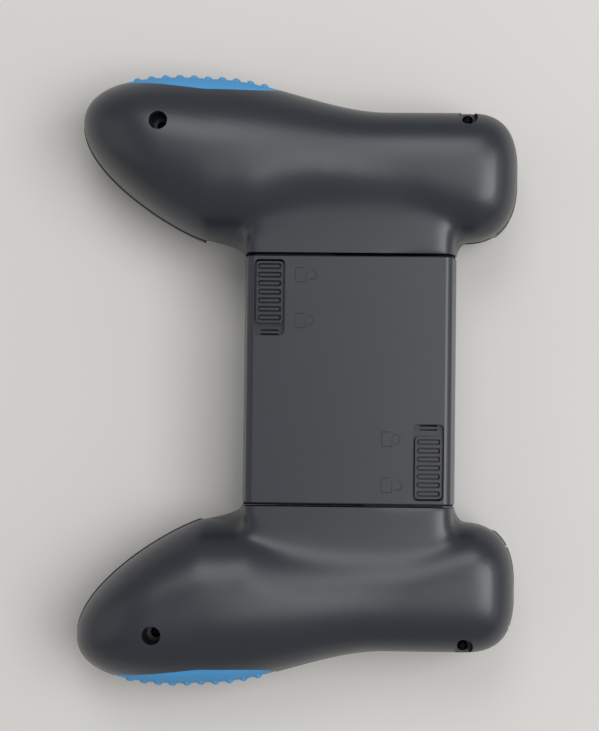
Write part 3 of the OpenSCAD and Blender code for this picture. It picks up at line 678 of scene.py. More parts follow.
def plated(name, rgb, cloud_mm=1.5, tones=(0.85, 1.1), rough=(0.25, 0.42)):
    """Metal under a cloudy plating or oxide."""
    material, tree, surface, where = new_material(name)
    cloud = add(tree, "ShaderNodeTexNoise", {"Vector": where, "Scale": per_metre(cloud_mm), "Detail": 3})
    dark, light = (shade(rgb, factor) for factor in tones)
    tone = add(
        tree, "ShaderNodeMix", {MIX_FACTOR: cloud.outputs["Fac"], MIX_A: dark, MIX_B: light}, data_type="RGBA"
    )
    sheen = add(
        tree, "ShaderNodeMapRange", {"Value": cloud.outputs["Fac"], "To Min": rough[0], "To Max": rough[1]}
    )
    surface.inputs["Metallic"].default_value = 1
    tree.links.new(tone.outputs[MIX_COLOUR], surface.inputs["Base Color"])
    tree.links.new(sheen.outputs["Result"], surface.inputs["Roughness"])
    return material


def zinc_steel():
    """Zinc-plated steel: a pale metal with a cloudy, slightly blue plating."""
    return plated("zinc_plated_steel", settings().finish.steel)


def screw_steel_painted_shade():
    """Steel screws coloured near black as painted shade, so that each well looks dark down to its floor; the
    metal stays dull there.
    """
    return plated("near_black_steel_painted_shade", settings().finish.screw)


def solder_masked_board():
    """Glass-epoxy board under green solder mask: paler copper runs show through as right-angled lines."""
    material, tree, surface, where = new_material("glass_epoxy_solder_mask")
    mask = settings().finish.board
    # Copper runs are about 0.25 mm wide on a 1.6 mm grid
    runs = add(
        tree, "ShaderNodeTexBrick",
        {
            "Vector": where, "Scale": per_metre(3.2),
            "Mortar Size": 0.08, "Brick Width": 1, "Row Height": 0.5,
            "Color1": shade(mask, 0.9), "Color2": shade(mask, 1), "Mortar": shade(mask, 1.7),
        },
    )
    relief = add(
        tree, "ShaderNodeBump", {"Height": runs.outputs["Fac"], "Strength": 0.4, "Distance": 0.03 * MM}
    )
    surface.inputs["Roughness"].default_value = 0.3
    surface.inputs["IOR"].default_value = 1.5
    tree.links.new(runs.outputs["Color"], surface.inputs["Base Color"])
    tree.links.new(relief.outputs["Normal"], surface.inputs["Normal"])
    return material


def cell_foil():
    """Aluminium laminate of a pouch cell: dull silver with shallow wrinkles."""
    material, tree, surface, where = new_material("aluminium_laminate_foil")
    wrinkle = add(
        tree, "ShaderNodeTexNoise", {"Vector": where, "Scale": per_metre(3), "Detail": 3, "Distortion": 1.2}
    )
    dark, light = (shade(linear(code), 1) for code in ("#8d949b", "#aab0b5"))
    tone = add(
        tree, "ShaderNodeMix", {MIX_FACTOR: wrinkle.outputs["Fac"], MIX_A: dark, MIX_B: light},
        data_type="RGBA",
    )
    relief = add(
        tree, "ShaderNodeBump", {"Height": wrinkle.outputs["Fac"], "Strength": 0.5, "Distance": 0.08 * MM}
    )
    surface.inputs["Metallic"].default_value = 1
    surface.inputs["Roughness"].default_value = 0.45
    tree.links.new(tone.outputs[MIX_COLOUR], surface.inputs["Base Color"])
    tree.links.new(relief.outputs["Normal"], surface.inputs["Normal"])
    return material


FINISHES = {}


def finish(make):
    """Material of a make function, made once."""
    key = make.__name__
    if key not in FINISHES:
        FINISHES[key] = make()
    return FINISHES[key]


# Geometry node trees
# Bead: how late its ends close, and the share of its width that is left there
BEAD_END_POWER = 8
BEAD_END_WIDTH = 0.25


def new_tree(name, sockets):
    """Geometry node tree with a geometry going in and out and named inputs."""
    tree = bpy.data.node_groups.new(name, "GeometryNodeTree")
    tree.interface.new_socket("Geometry", in_out="INPUT", socket_type="NodeSocketGeometry")
    tree.interface.new_socket("Geometry", in_out="OUTPUT", socket_type="NodeSocketGeometry")
    for label, kind in sockets:
        tree.interface.new_socket(label, in_out="INPUT", socket_type="NodeSocket" + kind)
    return tree, add(tree, "NodeGroupInput").outputs


def close_tree(tree, geometry, material):
    """Ends a tree in real geometry with its material."""
    real = add(tree, "GeometryNodeRealizeInstances", {"Geometry": geometry})
    dressed = add(tree, "GeometryNodeSetMaterial", {"Geometry": real.outputs[0], "Material": material})
    add(tree, "NodeGroupOutput", {"Geometry": dressed.outputs[0]})
    return tree


def grow(obj, tree, values):
    """Runs a tree on an object with values for its named inputs and keeps the result as a plain mesh."""
    step = obj.modifiers.new(tree.name, "NODES")
    step.node_group = tree
    for item in tree.interface.items_tree:
        if item.in_out == "INPUT" and item.name in values:
            step[item.identifier] = values[item.name]
    return settle(obj)


def bead_tree():
    """Round bead along every line of a mesh, drawn in at both ends."""
    sockets = (("Radius", "Float"), ("Sides", "Int"), ("Material", "Material"))
    tree, given = new_tree("bead_along_lines", sockets)
    lines = add(tree, "GeometryNodeMeshToCurve", {"Mesh": given["Geometry"]})
    along = add(tree, "GeometryNodeSplineParameter").outputs["Factor"]
    ends = add(tree, "ShaderNodeMapRange", {"Value": along, "To Min": -1, "To Max": 1})
    steep = add(tree, "ShaderNodeMath", {0: ends.outputs["Result"], 1: BEAD_END_POWER}, operation="POWER")
    rest = add(tree, "ShaderNodeMath", {0: 1, 1: steep.outputs[0]}, operation="SUBTRACT")
    fade = add(tree, "ShaderNodeMath", {0: rest.outputs[0]}, operation="SQRT")
    width = add(tree, "ShaderNodeMath", {0: fade.outputs[0], 1: BEAD_END_WIDTH}, operation="MAXIMUM")
    ring = add(
        tree, "GeometryNodeCurvePrimitiveCircle", {"Radius": given["Radius"], "Resolution": given["Sides"]}
    )
    inputs = {
        "Curve": lines.outputs[0], "Profile Curve": ring.outputs[0], "Scale": width.outputs[0],
        "Fill Caps": True,
    }
    bead = add(tree, "GeometryNodeCurveToMesh", inputs)
    return close_tree(tree, bead.outputs[0], given["Material"])


def screw_tree():
    """One screw on every point, head up or turned over."""
    tree, given = new_tree("screws_on_points", (("Screw", "Object"), ("Material", "Material")))
    screw = add(tree, "GeometryNodeObjectInfo", {"Object": given["Screw"], "As Instance": True})
    turned = add(tree, "GeometryNodeInputNamedAttribute", {"Name": "turned"}, data_type="FLOAT")
    turn = add(tree, "ShaderNodeCombineXYZ", {"X": turned.outputs["Attribute"]})
    inputs = {"Points": given["Geometry"], "Instance": screw.outputs["Geometry"], "Rotation": turn.outputs[0]}
    placed = add(tree, "GeometryNodeInstanceOnPoints", inputs)
    return close_tree(tree, placed.outputs[0], given["Material"])


def knurl_tree():
    """Ring of small bumps on the rim of a stick cap, joined to the cap."""
    sockets = (("Count", "Int"), ("Rim", "Float"), ("Bump", "Float"), ("Place", "Vector"))
    tree, given = new_tree("bumps_round_rim", (*sockets, ("Material", "Material")))
    ring = add(tree, "GeometryNodeMeshCircle", {"Vertices": given["Count"], "Radius": given["Rim"]})
    moved = add(tree, "GeometryNodeTransform", {"Geometry": ring.outputs[0], "Translation": given["Place"]})
    bump = add(tree, "GeometryNodeMeshIcoSphere", {"Radius": given["Bump"], "Subdivisions": 2})
    inputs = {"Points": moved.outputs[0], "Instance": bump.outputs[0]}
    placed = add(tree, "GeometryNodeInstanceOnPoints", inputs)
    joined = add(tree, "GeometryNodeJoinGeometry", {"Geometry": given["Geometry"]})
    tree.links.new(placed.outputs[0], joined.inputs[0])
    return close_tree(tree, joined.outputs[0], given["Material"])


def lines_object(name, lines):
    """Mesh of open lines."""
    bm = bmesh.new()
    for line in lines:
        points = [bm.verts.new(p) for p in line]
        for pair in zip(points, points[1:]):
            bm.edges.new(pair)
    return as_object(name, bm)


# Shells and inserts
# Neck: start of its flare past the inner edge, reach past the seam, and what is left off the flare's end
FLARE_START = 3.2
NECK_PAST = 2
FLARE_REST = 0.6
# Leaf of an insert: half height at its tips, bluntness of its ends, and margins past the first and last rib
LEAF_FOOT = 1.2
LEAF_BLUNTNESS = 0.25
LEAF_MARGINS = (4.4, 4.8)
RECESS_REACH = 8


def box_section(grow_by, low, steps=10):
    """Section of the box across Y and Z, grown outwards for the neck's flare."""
    box = in_mm(settings().box)
    foot = BOX_HALF + grow_by
    height = BACK_Z - PART_Z
    head = foot - box.edge_draft
    top = BACK_Z + grow_by
    lean = box.edge_draft / height * (low - PART_Z)
    left = arc((BOX_Y - head + box.edge_r, top - box.edge_r), box.edge_r, 180, 90, steps)
    right = arc((BOX_Y + head - box.edge_r, top - box.edge_r), box.edge_r, 90, 0, steps)
    return [(BOX_Y - foot + lean, low)] + left + right + [(BOX_Y + foot - lean, low)]


def neck(form, skirt):
    """Neck that carries the box's section into the bulge with a flare, and webs along its sides."""
    size = form.size
    low = SEAM_U + in_mm(settings().box).seam_gap
    start = size.jaw_reach + FLARE_START
    stations = [low - NECK_PAST] + ramp(low, size.jaw_reach, steps=12)
    stations += ramp(start, start + size.flare - FLARE_REST, steps=16)
    rings = []
    for u in stations:
        past = max(u - start, 0)
        grown = form.FLARE_SHARE * (size.flare - math.sqrt(size.flare ** 2 - past ** 2))
        spread = min(max((u - low) / (size.jaw_reach - low), 0), 1) ** 2 if past == 0 else 0
        foot = BOX_HALF + grown
        handle = BOX_Y - foot - size.web_handle * spread
        top = BOX_Y + foot + size.web_top * spread
        section = [(handle, PART_Z - skirt), (handle, PART_Z)]
        section += box_section(grown, PART_Z + size.web_height)
        section += [(top, PART_Z), (top, PART_Z - skirt)]
        rings.append([(u, y, z) for y, z in section])
    return loft("neck", rings)


def leaf_edge(t, high):
    """Half height of the insert's leaf at share t of its length."""
    return high * max(math.sin(math.pi * t), 0) ** LEAF_BLUNTNESS


def leaf_ends(form):
    """First and last v of the insert's leaf."""
    rubber = in_mm(settings().rubber)
    first = rubber.first_rib - form.half
    return first - LEAF_MARGINS[0], first + rubber.rib_pitch * (rubber.ribs - 1) + LEAF_MARGINS[1]


def leaf_outline(form, steps=40):
    """Insert's leaf on the outer side, in v and height."""
    rubber = in_mm(settings().rubber)
    low, high = leaf_ends(form)
    shares = ramp(0, 1, steps)
    upper = [(mix(low, high, t), PART_Z + LEAF_FOOT + leaf_edge(t, rubber.upper)) for t in shares]
    lower = [(mix(low, high, t), PART_Z - LEAF_FOOT - leaf_edge(t, rubber.lower)) for t in shares]
    return upper + lower[::-1]


def insert_recess(form):
    """Cutter for the recess of a grip insert."""
    sunk = in_mm(settings().rubber).sunk
    near = form.size.tip_reach - RECESS_REACH
    far = form.size.handle_reach + RECESS_REACH
    outline = leaf_outline(form)
    recess = loft("recess", [[(u, v, z) for v, z in outline] for u in (near, far)])
    cores = [form.skin("core", sunk, back, below=0.5, along=70, around=48) for back in (True, False)]
    return carve(recess, cores)


class GAMEPAD_OT_back_shells(bpy.types.Operator):
    """Build the two moulded back shells with their necks and screw wells"""

    bl_idname = "gamepad.back_shells"
    bl_label = "Back Shells"

    SKIRT = 3
    GRID = 0.6
    POLISH_STEPS = 6
    BLEND_STEPS = 280
    LEAST_WEIGHT = 0.01
    # Where the blend comes and goes: from the seam, over the bulge, aside from the box's middle, and upwards
    NECK_FADE = (2.5, 7.5)
    BULGE_FADE = (51, 60)
    MIDDLE_FADE = (12, 26)
    ASIDE_FADE = (31, 37)
    RISE_FADE = (2, 6)
    ASIDE_SHARE = 0.3
    # Where the crown is rounded: along the grip and upwards
    CROWN_FADE = (18, 32)
    CROWN_RISE = (6, 12)
    CROWN_SHARE = 0.4
    BOSS_WALL = 1.4
    # Rise of the stop lug over the tongue, which the pocket doesn't take in
    LUG_RISE = 1

    def execute(self, context):
        form = GripForm()
        body = self.blended_body(form)
        for side in SIDES:
            shell = twin(body, side + "_back_shell_skin")
            carve(shell, self.cutters(form, side))
            place(
                shell, side + "_grip", finish(charcoal_abs), [side + "_back_shell"],
                mirrored=side == "right",
            )
        bpy.data.objects.remove(body)
        return {"FINISHED"}

    def blended_body(self, form):
        """Bulge and neck melted into one skin, smoothed where they meet and trimmed at the parting plane."""
        bulge = form.skin("bulge", 0, True, below=self.SKIRT)
        carve(bulge, [neck(form, self.SKIRT)], "UNION")
        melt = bulge.modifiers.new("melt", "REMESH")
        melt.mode = "VOXEL"
        melt.voxel_size = self.GRID
        settle(bulge)
        polish = bulge.modifiers.new("polish", "SMOOTH")
        polish.iterations = self.POLISH_STEPS
        settle(bulge)
        group = bulge.vertex_groups.new(name="melted")
        for vertex in bulge.data.vertices:
            weight = max(self.junction(vertex.co), self.crown(vertex.co))
            if weight > self.LEAST_WEIGHT:
                group.add([vertex.index], weight, "REPLACE")
        blend = bulge.modifiers.new("blend", "SMOOTH")
        blend.vertex_group = group.name
        blend.iterations = self.BLEND_STEPS
        settle(bulge)
        seam = SEAM_U + in_mm(settings().box).seam_gap
        return carve(bulge, [block("keep", (seam, -FAR, PART_Z), (FAR, FAR, FAR))], "INTERSECT")

    def junction(self, p):
        """How far a point of the skin is drawn into the concave blend between neck and bulge."""
        across = stretch(p.x - SEAM_U, self.NECK_FADE) * (1 - stretch(p.x, self.BULGE_FADE))
        aside = abs(p.y - BOX_Y)
        along = mix(1, self.ASIDE_SHARE, stretch(aside, self.MIDDLE_FADE))
        along *= 1 - stretch(aside, self.ASIDE_FADE)
        return across * along * stretch(p.z - PART_Z, self.RISE_FADE)

    def crown(self, p):
        """How far a point is drawn into the round crown at the top end of the grip."""
        return self.CROWN_SHARE * stretch(p.y, self.CROWN_FADE) * stretch(p.z - PART_Z, self.CROWN_RISE)

    def cutters(self, form, side):
        """Hollow, wells, insert recess and the tongue's pocket."""
        size = form.size
        places = form.case_screws()
        hollow = form.skin("hollow", size.wall, True, below=2, along=60, around=40)
        boss_r = size.well_r + self.BOSS_WALL
        carve(hollow, [rod("boss", at, boss_r, PART_Z - self.SKIRT, FAR, sides=32) for at in places])
        wells = []
        for at, floor in zip(places, form.WELL_FLOORS):
            wells.append(rod("well", at, size.well_r, PART_Z + floor, FAR, sides=40))
        low, high = cad_box(side + "_slide_tongue")
        end = max(abs(low.x), high.x) + PAST
        top = high.z - self.LUG_RISE + SEAT_GAP
        pocket = block("pocket", (SEAM_U, low.y - SEAT_GAP, low.z - SEAT_GAP), (end, high.y + SEAT_GAP, top))
        return [hollow, insert_recess(form), pocket] + wells


class GAMEPAD_OT_front_shells(bpy.types.Operator):
    """Build the two front shells with their jaws, key holes and shoulder pockets"""

    bl_idname = "gamepad.front_shells"
    bl_label = "Front Shells"

    # Ledge under the phone: shorter than the box, and from before to past the inner edge
    LIP_SHORT = 5
    LIP_REACH = (-2.4, 6)
    LIP_R = 1.2
    JAW_MARGIN = 2
    JAW_END = 2.5
    BOSS_WALL = 0.8
    POCKET_GAPS = (0.6, 0.4)
    PORT_GAP = 0.2
    PORT_REACH = (-12, 4)
    # Dish under a stick cap: radii of mouth, rim, slope and hole, and depths of slope and hole
    DISH_RADII = (12.7, 12.4, 11.4, 7.4)
    DISH_DEPTHS = (0.7, 0.9)
    DISH_CUT = (-2, 4)
    KEYS = {
        "right": ("start_button", "home_button", *("face_button_%d" % i for i in range(1, 5))),
        "left": ("select_button", "mode_button"),
    }
    FLANGE_STEP = 0.5
    FLANGE_ROOM = 2.6
    CROSS_HOLE = (10.6, 4.3)
    CROSS_GAP = 0.6
    CROSS_ROOM = 4

    def execute(self, context):
        form = GripForm()
        for side in SIDES:
            shell = form.skin(side + "_front_shell_skin", -form.size.reveal, False)
            carve(shell, [self.lip(form)], "UNION")
            carve(shell, self.cutters(form, side))
            place(
                shell, side + "_grip", finish(charcoal_abs), [side + "_front_shell"],
                mirrored=side == "right",
            )
        return {"FINISHED"}

    @staticmethod
    def face(form):
        """Level of the flat face with the sticks."""
        return PART_Z - form.size.front_drop

    def lip(self, form):
        """Ledge under the ends of the phone."""
        half = BOX_HALF - self.LIP_SHORT
        near, far = (form.size.jaw_reach + reach for reach in self.LIP_REACH)
        outline = rounded_rectangle((near, BOX_Y - half), (far, BOX_Y + half), self.LIP_R)
        return prism("lip", outline, self.face(form), self.face(form) + form.size.wall)

    def cutters(self, form, side):
        """Hollow, jaw, shoulder pocket, port, stick dish and key holes, drawn on +X."""
        size = form.size
        inner = self.face(form) + size.wall
        pad_low, pad_high = cad_box("left_jaw_pad")
        jaw_u = pad_high.x + SEAT_GAP
        jaw_low, jaw_high = pad_low.y - self.JAW_MARGIN, form.half - self.JAW_END
        hollow = form.skin("hollow", size.wall, False, below=2, along=60, around=40)
        around_hollow = [block("jaw_wall", (0, jaw_low, 0), (jaw_u + size.wall, jaw_high, FAR))]
        boss_r = size.well_r + self.BOSS_WALL
        for at in form.case_screws():
            around_hollow.append(rod("boss", at, boss_r, 0, PART_Z - SEAT_GAP, sides=32))
        carve(hollow, around_hollow)
        jaw = block("jaw", (0, jaw_low, inner), (jaw_u, jaw_high, FAR))
        cuts = [hollow, jaw, self.shoulder_pocket(), self.port_mouth(), self.stick_dish(form)]
        return cuts + [insert_recess(form)] + self.key_holes(side, inner)

    def shoulder_pocket(self):
        """Room for the bumper and the trigger at the top edge."""
        low, high = cad_box("left_bumper")
        u, v = self.POCKET_GAPS
        return block("pocket", (low.x - u, low.y - v, low.z - SLIDE_GAP), (high.x + u, FAR, PART_Z + PAST))

    def port_mouth(self):
        """Opening in front of the charging port."""
        low, high = cad_box("left_charging_port")
        near, far = (low.x + reach for reach in self.PORT_REACH)
        gap = self.PORT_GAP
        return block("mouth", (near, low.y - gap, low.z - gap), (far, high.y + gap, high.z + gap))

    def stick_dish(self, form):
        """Dish in the face under a stick cap, with the hole for its dome."""
        face = self.face(form)
        mouth, rim, slope, hole = self.DISH_RADII
        before, past = (face + depth for depth in self.DISH_CUT)
        profile = [(0, before), (mouth, before), (rim, face - form.size.reveal)]
        profile += [(r, face + depth) for r, depth in zip((slope, hole), self.DISH_DEPTHS)]
        stick = cad_middle("left_stick_cap")
        return lathe("dish", (stick.x, stick.y), profile + [(hole, past), (0, past)])

    def key_holes(self, side, inner):
        """Holes of the keys on one grip, drawn on +X."""
        holes = []
        for name in self.KEYS[side]:
            low, high = cad_box(name)
            middle = (abs(low.x + high.x) / 2, (low.y + high.y) / 2)
            flange = (high.x - low.x) / 2
            holes.append(rod("hole", middle, flange - self.FLANGE_STEP, 0, inner + PAST))
            holes.append(rod("flange_room", middle, flange + SLIDE_GAP, inner, inner + self.FLANGE_ROOM))
        if side == "left":
            low, high = cad_box("dpad_cross")
            at = ((low.x + high.x) / 2, (low.y + high.y) / 2)
            room_r = (high.x - low.x) / 2 + self.CROSS_GAP
            holes.append(prism("cross_hole", cross_outline(at, *self.CROSS_HOLE), 0, inner + PAST))
            holes.append(rod("flange_room", at, room_r, inner, inner + self.CROSS_ROOM, sides=64))
        return holes


def cross_outline(at, reach, half, radius=0.8):
    """Plus-shaped outline with round outer corners."""
    points = []
    for quarter in range(4):
        turn = Matrix.Rotation(math.radians(90 * quarter), 2)
        first = arc((reach - radius, -half + radius), radius, 270, 360, steps=4)
        second = arc((reach - radius, half - radius), radius, 0, 90, steps=4)
        for p in first + second + [(half, half)]:
            q = turn @ Vector(p)
            points.append((at[0] + q.x, at[1] + q.y))
    return points


class GAMEPAD_OT_grip_inserts(bpy.types.Operator):
    """Build the ribbed rubber inserts on the outer sides of the handles"""

    bl_idname = "gamepad.grip_inserts"
    bl_label = "Grip Inserts"

    ALONG = 90
    ACROSS = 22
    FOOT = 1.1
    # Patch: depth of its edge under the skin, crown over that edge, and radius of its rim
    EDGE_DEPTH = 0.45
    CROWN = 0.4
    RIM_R = 1.2
    # Ribs: distance of their ends from the leaf's edge, depth of their line under the skin, and fineness
    RIB_END = 0.7
    RIB_DEPTH = 0.35
    RIB_STEPS = 24
    RIB_SIDES = 16
    CREASE = 50

    def execute(self, context):
        form = GripForm()
        beads = bead_tree()
        rubber = finish(azure_rubber)
        rib = {"Radius": in_mm(settings().rubber).rib_radius, "Sides": self.RIB_SIDES, "Material": rubber}
        for side in SIDES:
            patch = self.patch(form, side + "_grip_insert_skin")
            place(
                patch, side + "_grip", rubber, [side + "_grip_insert"],
                mirrored=side == "right", crease=self.CREASE,
            )
            ribs = grow(lines_object(side + "_grip_ribs", self.rib_lines(form)), beads, rib)
            place(ribs, side + "_grip", rubber, mirrored=side == "right", crease=self.CREASE)
        return {"FINISHED"}

    def span(self, form, v):
        """Lowest and highest rise of the leaf at v."""
        rubber = in_mm(settings().rubber)
        low, high = leaf_ends(form)
        t = min(max((v - low) / (high - low), 0), 1)
        return -self.FOOT - leaf_edge(t, rubber.lower), self.FOOT + leaf_edge(t, rubber.upper)

    def patch(self, form, name):
        """Crowned patch on the skin with round edges."""
        sunk = in_mm(settings().rubber).sunk
        low, high = leaf_ends(form)
        rings = []
        for v in ramp(low + SEAT_GAP, high - SEAT_GAP, self.ALONG):
            down, up = self.span(form, v)
            outer = []
            inner = []
            for rise in ramp(down, up, self.ACROSS):
                rim = min(rise - down, up - rise, v - low, high - v)
                proud = self.CROWN * round_rim(rim, self.RIM_R) - self.EDGE_DEPTH
                outer.append(form.outer_point(v, rise, proud))
                inner.append(form.outer_point(v, rise, SEAT_GAP - sunk))
            rings.append(outer + inner[::-1])
        return loft(name, rings)

    def rib_lines(self, form):
        """Lines of the ribs across the insert, on its skin."""
        rubber = in_mm(settings().rubber)
        lines = []
        for i in range(rubber.ribs):
            v = rubber.first_rib - form.half + rubber.rib_pitch * i
            down, up = self.span(form, v)
            low, high = max(down + self.RIB_END, -rubber.rib_lower), min(up - self.RIB_END, rubber.rib_upper)
            rises = ramp(low, high, self.RIB_STEPS)
            lines.append([form.outer_point(v, rise, -self.RIB_DEPTH) for rise in rises])
        return lines


def round_rim(distance, radius):
    """Rises from 0 at the rim to 1 past the radius, as a quarter round."""
    t = 1 - min(max(distance / radius, 0), 1)
    return math.sqrt(1 - t * t)


# Centre box and lock sliders
def in_box(side, u, v):
    """Place in the box for a piece drawn on its left half; the right half is turned half round."""
    return SIDES[side] * u, BOX_Y + SIDES[side] * v


def box_outline(side, outline):
    """Outline drawn for the left half, turned to the side asked for."""
    return [in_box(side, u, v) for u, v in outline]


def slot_places():
    """Slot of the left lock slider: its ends along u and across v, and the ends of the knob at rest."""
    box = in_mm(settings().box)
    long = box.knob_length + box.lock_travel + 2 * box.knob_gap
    wide = box.knob_width + 2 * box.knob_gap
    end_u = SEAM_U - box.slot_margin
    end_v = BOX_HALF - box.slot_inset - box.edge_draft
    knob_end = end_u - box.knob_gap
    return SimpleNamespace(
        u=(end_u - long, end_u), v=(end_v - wide, end_v), knob=(knob_end - box.knob_length, knob_end),
        middle_v=end_v - wide / 2,
    )


class GAMEPAD_OT_centre_box(bpy.types.Operator):
    """Build the centre box: back cover with its slots and pictograms, tray, seam lips and phone rest"""

    bl_idname = "gamepad.centre_box"
    bl_label = "Centre Box"

    CHAMFER = 0.3
    EDGE = 0.25
    SLOT_R = 1.3
    CHANNEL_WALL = 1
    CHANNEL_END = 0.9
    LIP_INSET = 0.4
    LIP_RISE = (0.2, 1.9)
    # Padlocks: place beside a slot and along it, body, bow, rise of a closed and an open bow, and stroke
    ICON_ASIDE = 5.6
    ICON_UP = 0.1
    ICON_SHARES = (0.2, 0.8)
    ICON_HALF = 1.9
    ICON_HIGH = 2.8
    ICON_BOW_R = 1.25
    ICON_BOW_RISES = (0.8, 1.5)
    ICON_STROKE = 0.22
    ICON_SIDES = 8
    ICON_SUNK = 0.13

    def execute(self, context):
        cover = self.cover()
        carve(cover, self.cutters())
        place(cover, "centre", finish(charcoal_abs), ["centre_back_cover"])
        stroke = {"Radius": self.ICON_STROKE, "Sides": self.ICON_SIDES, "Material": finish(pad_ink)}
        icons = grow(lines_object("centre_lock_icons", self.icon_lines()), bead_tree(), stroke)
        place(icons, "centre", finish(pad_ink))
        tray = soften(cad_copy("centre_tray", "centre_tray_skin"), self.EDGE)
        place(tray, "centre", finish(charcoal_abs), ["centre_tray"])
        place(self.seam_lips(), "centre", finish(black_silicone))
        rest = soften(cad_copy("phone_rest_pad", "phone_rest_skin"), self.EDGE)
        place(rest, "centre", finish(azure_rubber), ["phone_rest_pad"])
        return {"FINISHED"}

    def cover(self):
        """Bar of the box's section with chamfered ends."""
        cut = self.CHAMFER
        middle_z, half_z = (SPLIT_Z + BACK_Z) / 2, (BACK_Z - SPLIT_Z) / 2
        whole = box_section(0, SPLIT_Z)
        small = []
        for y, z in whole:
            small_z = mix(z, middle_z, cut / half_z) if z > SPLIT_Z else z
            small.append((mix(y, BOX_Y, cut / BOX_HALF), small_z))
        stations = ((-SEAM_U, small), (-SEAM_U + cut, whole), (SEAM_U - cut, whole), (SEAM_U, small))
        return loft("centre_back_skin", [[(u, y, z) for y, z in section] for u, section in stations])

    def seam_lips(self):
        """Dust lips on both ends of the tray, which close the seams to the light from below."""
        end = SEAM_U + in_mm(settings().box).seam_gap - SEAT_GAP
        low_y, high_y = TRAY_LOW.y + self.LIP_INSET, TRAY_HIGH.y - self.LIP_INSET
        low_z, high_z = (PART_Z + rise for rise in self.LIP_RISE)
        lips = [
            block("centre_seam_lips", (near, low_y, low_z), (far, high_y, high_z))
            for near, far in ((-end, -SEAM_U), (SEAM_U, end))
        ]
        return carve(lips[0], lips[1:], "UNION")

    def cutters(self):
        """Tongue channels and the two slots."""
        slot = slot_places()
        outline = rounded_rectangle((slot.u[0], slot.v[0]), (slot.u[1], slot.v[1]), self.SLOT_R)
        roof = BACK_Z - in_mm(settings().box).cover_t
        cuts = []
        for side, way in SIDES.items():
            low, high = cad_box(side + "_slide_tongue")
            inner = low.x - self.CHANNEL_END if side == "left" else high.x + self.CHANNEL_END
            near, far = sorted((way * (SEAM_U - self.CHANNEL_WALL), inner))
            cuts.append(
                block("channel", (near, low.y - SLIDE_GAP, SPLIT_Z - PAST), (far, high.y + SLIDE_GAP, roof))
            )
            cuts.append(prism("slot", box_outline(side, outline), roof - PAST, BACK_Z + PAST))
        return cuts

    def icon_lines(self):
        """Closed and open padlock beside each slider, upright to the top edge, a hair proud."""
        slot = slot_places()
        lines = []
        for side in SIDES:
            for share, rise in zip(self.ICON_SHARES, self.ICON_BOW_RISES):
                x, y = in_box(side, mix(*slot.u, share), slot.v[0] - self.ICON_ASIDE)
                closed = rise == self.ICON_BOW_RISES[0]
                for line in self.padlock(x, y + self.ICON_UP, rise, closed):
                    lines.append([(a, b, BACK_Z - self.ICON_SUNK) for a, b in line])
        return lines

    def padlock(self, x, top, rise, closed):
        """Lines of a padlock's body, which ends at top, and of its bow."""
        left, right, foot = x - self.ICON_HALF, x + self.ICON_HALF, top - self.ICON_HIGH
        corners = [(left, top), (left, foot), (right, foot), (right, top), (left, top)]
        body = []
        # Each side ends short of the corner that the next side starts from
        for (a, b), (c, d) in zip(corners, corners[1:]):
            body += [(mix(a, c, t), mix(b, d, t)) for t in ramp(0, 1, steps=10)[:-1]]
        bow = [(x + self.ICON_BOW_R, top)] + arc((x, top + rise), self.ICON_BOW_R, 0, 180, steps=12)
        if closed:
            bow.append((x - self.ICON_BOW_R, top))
        return body, bow


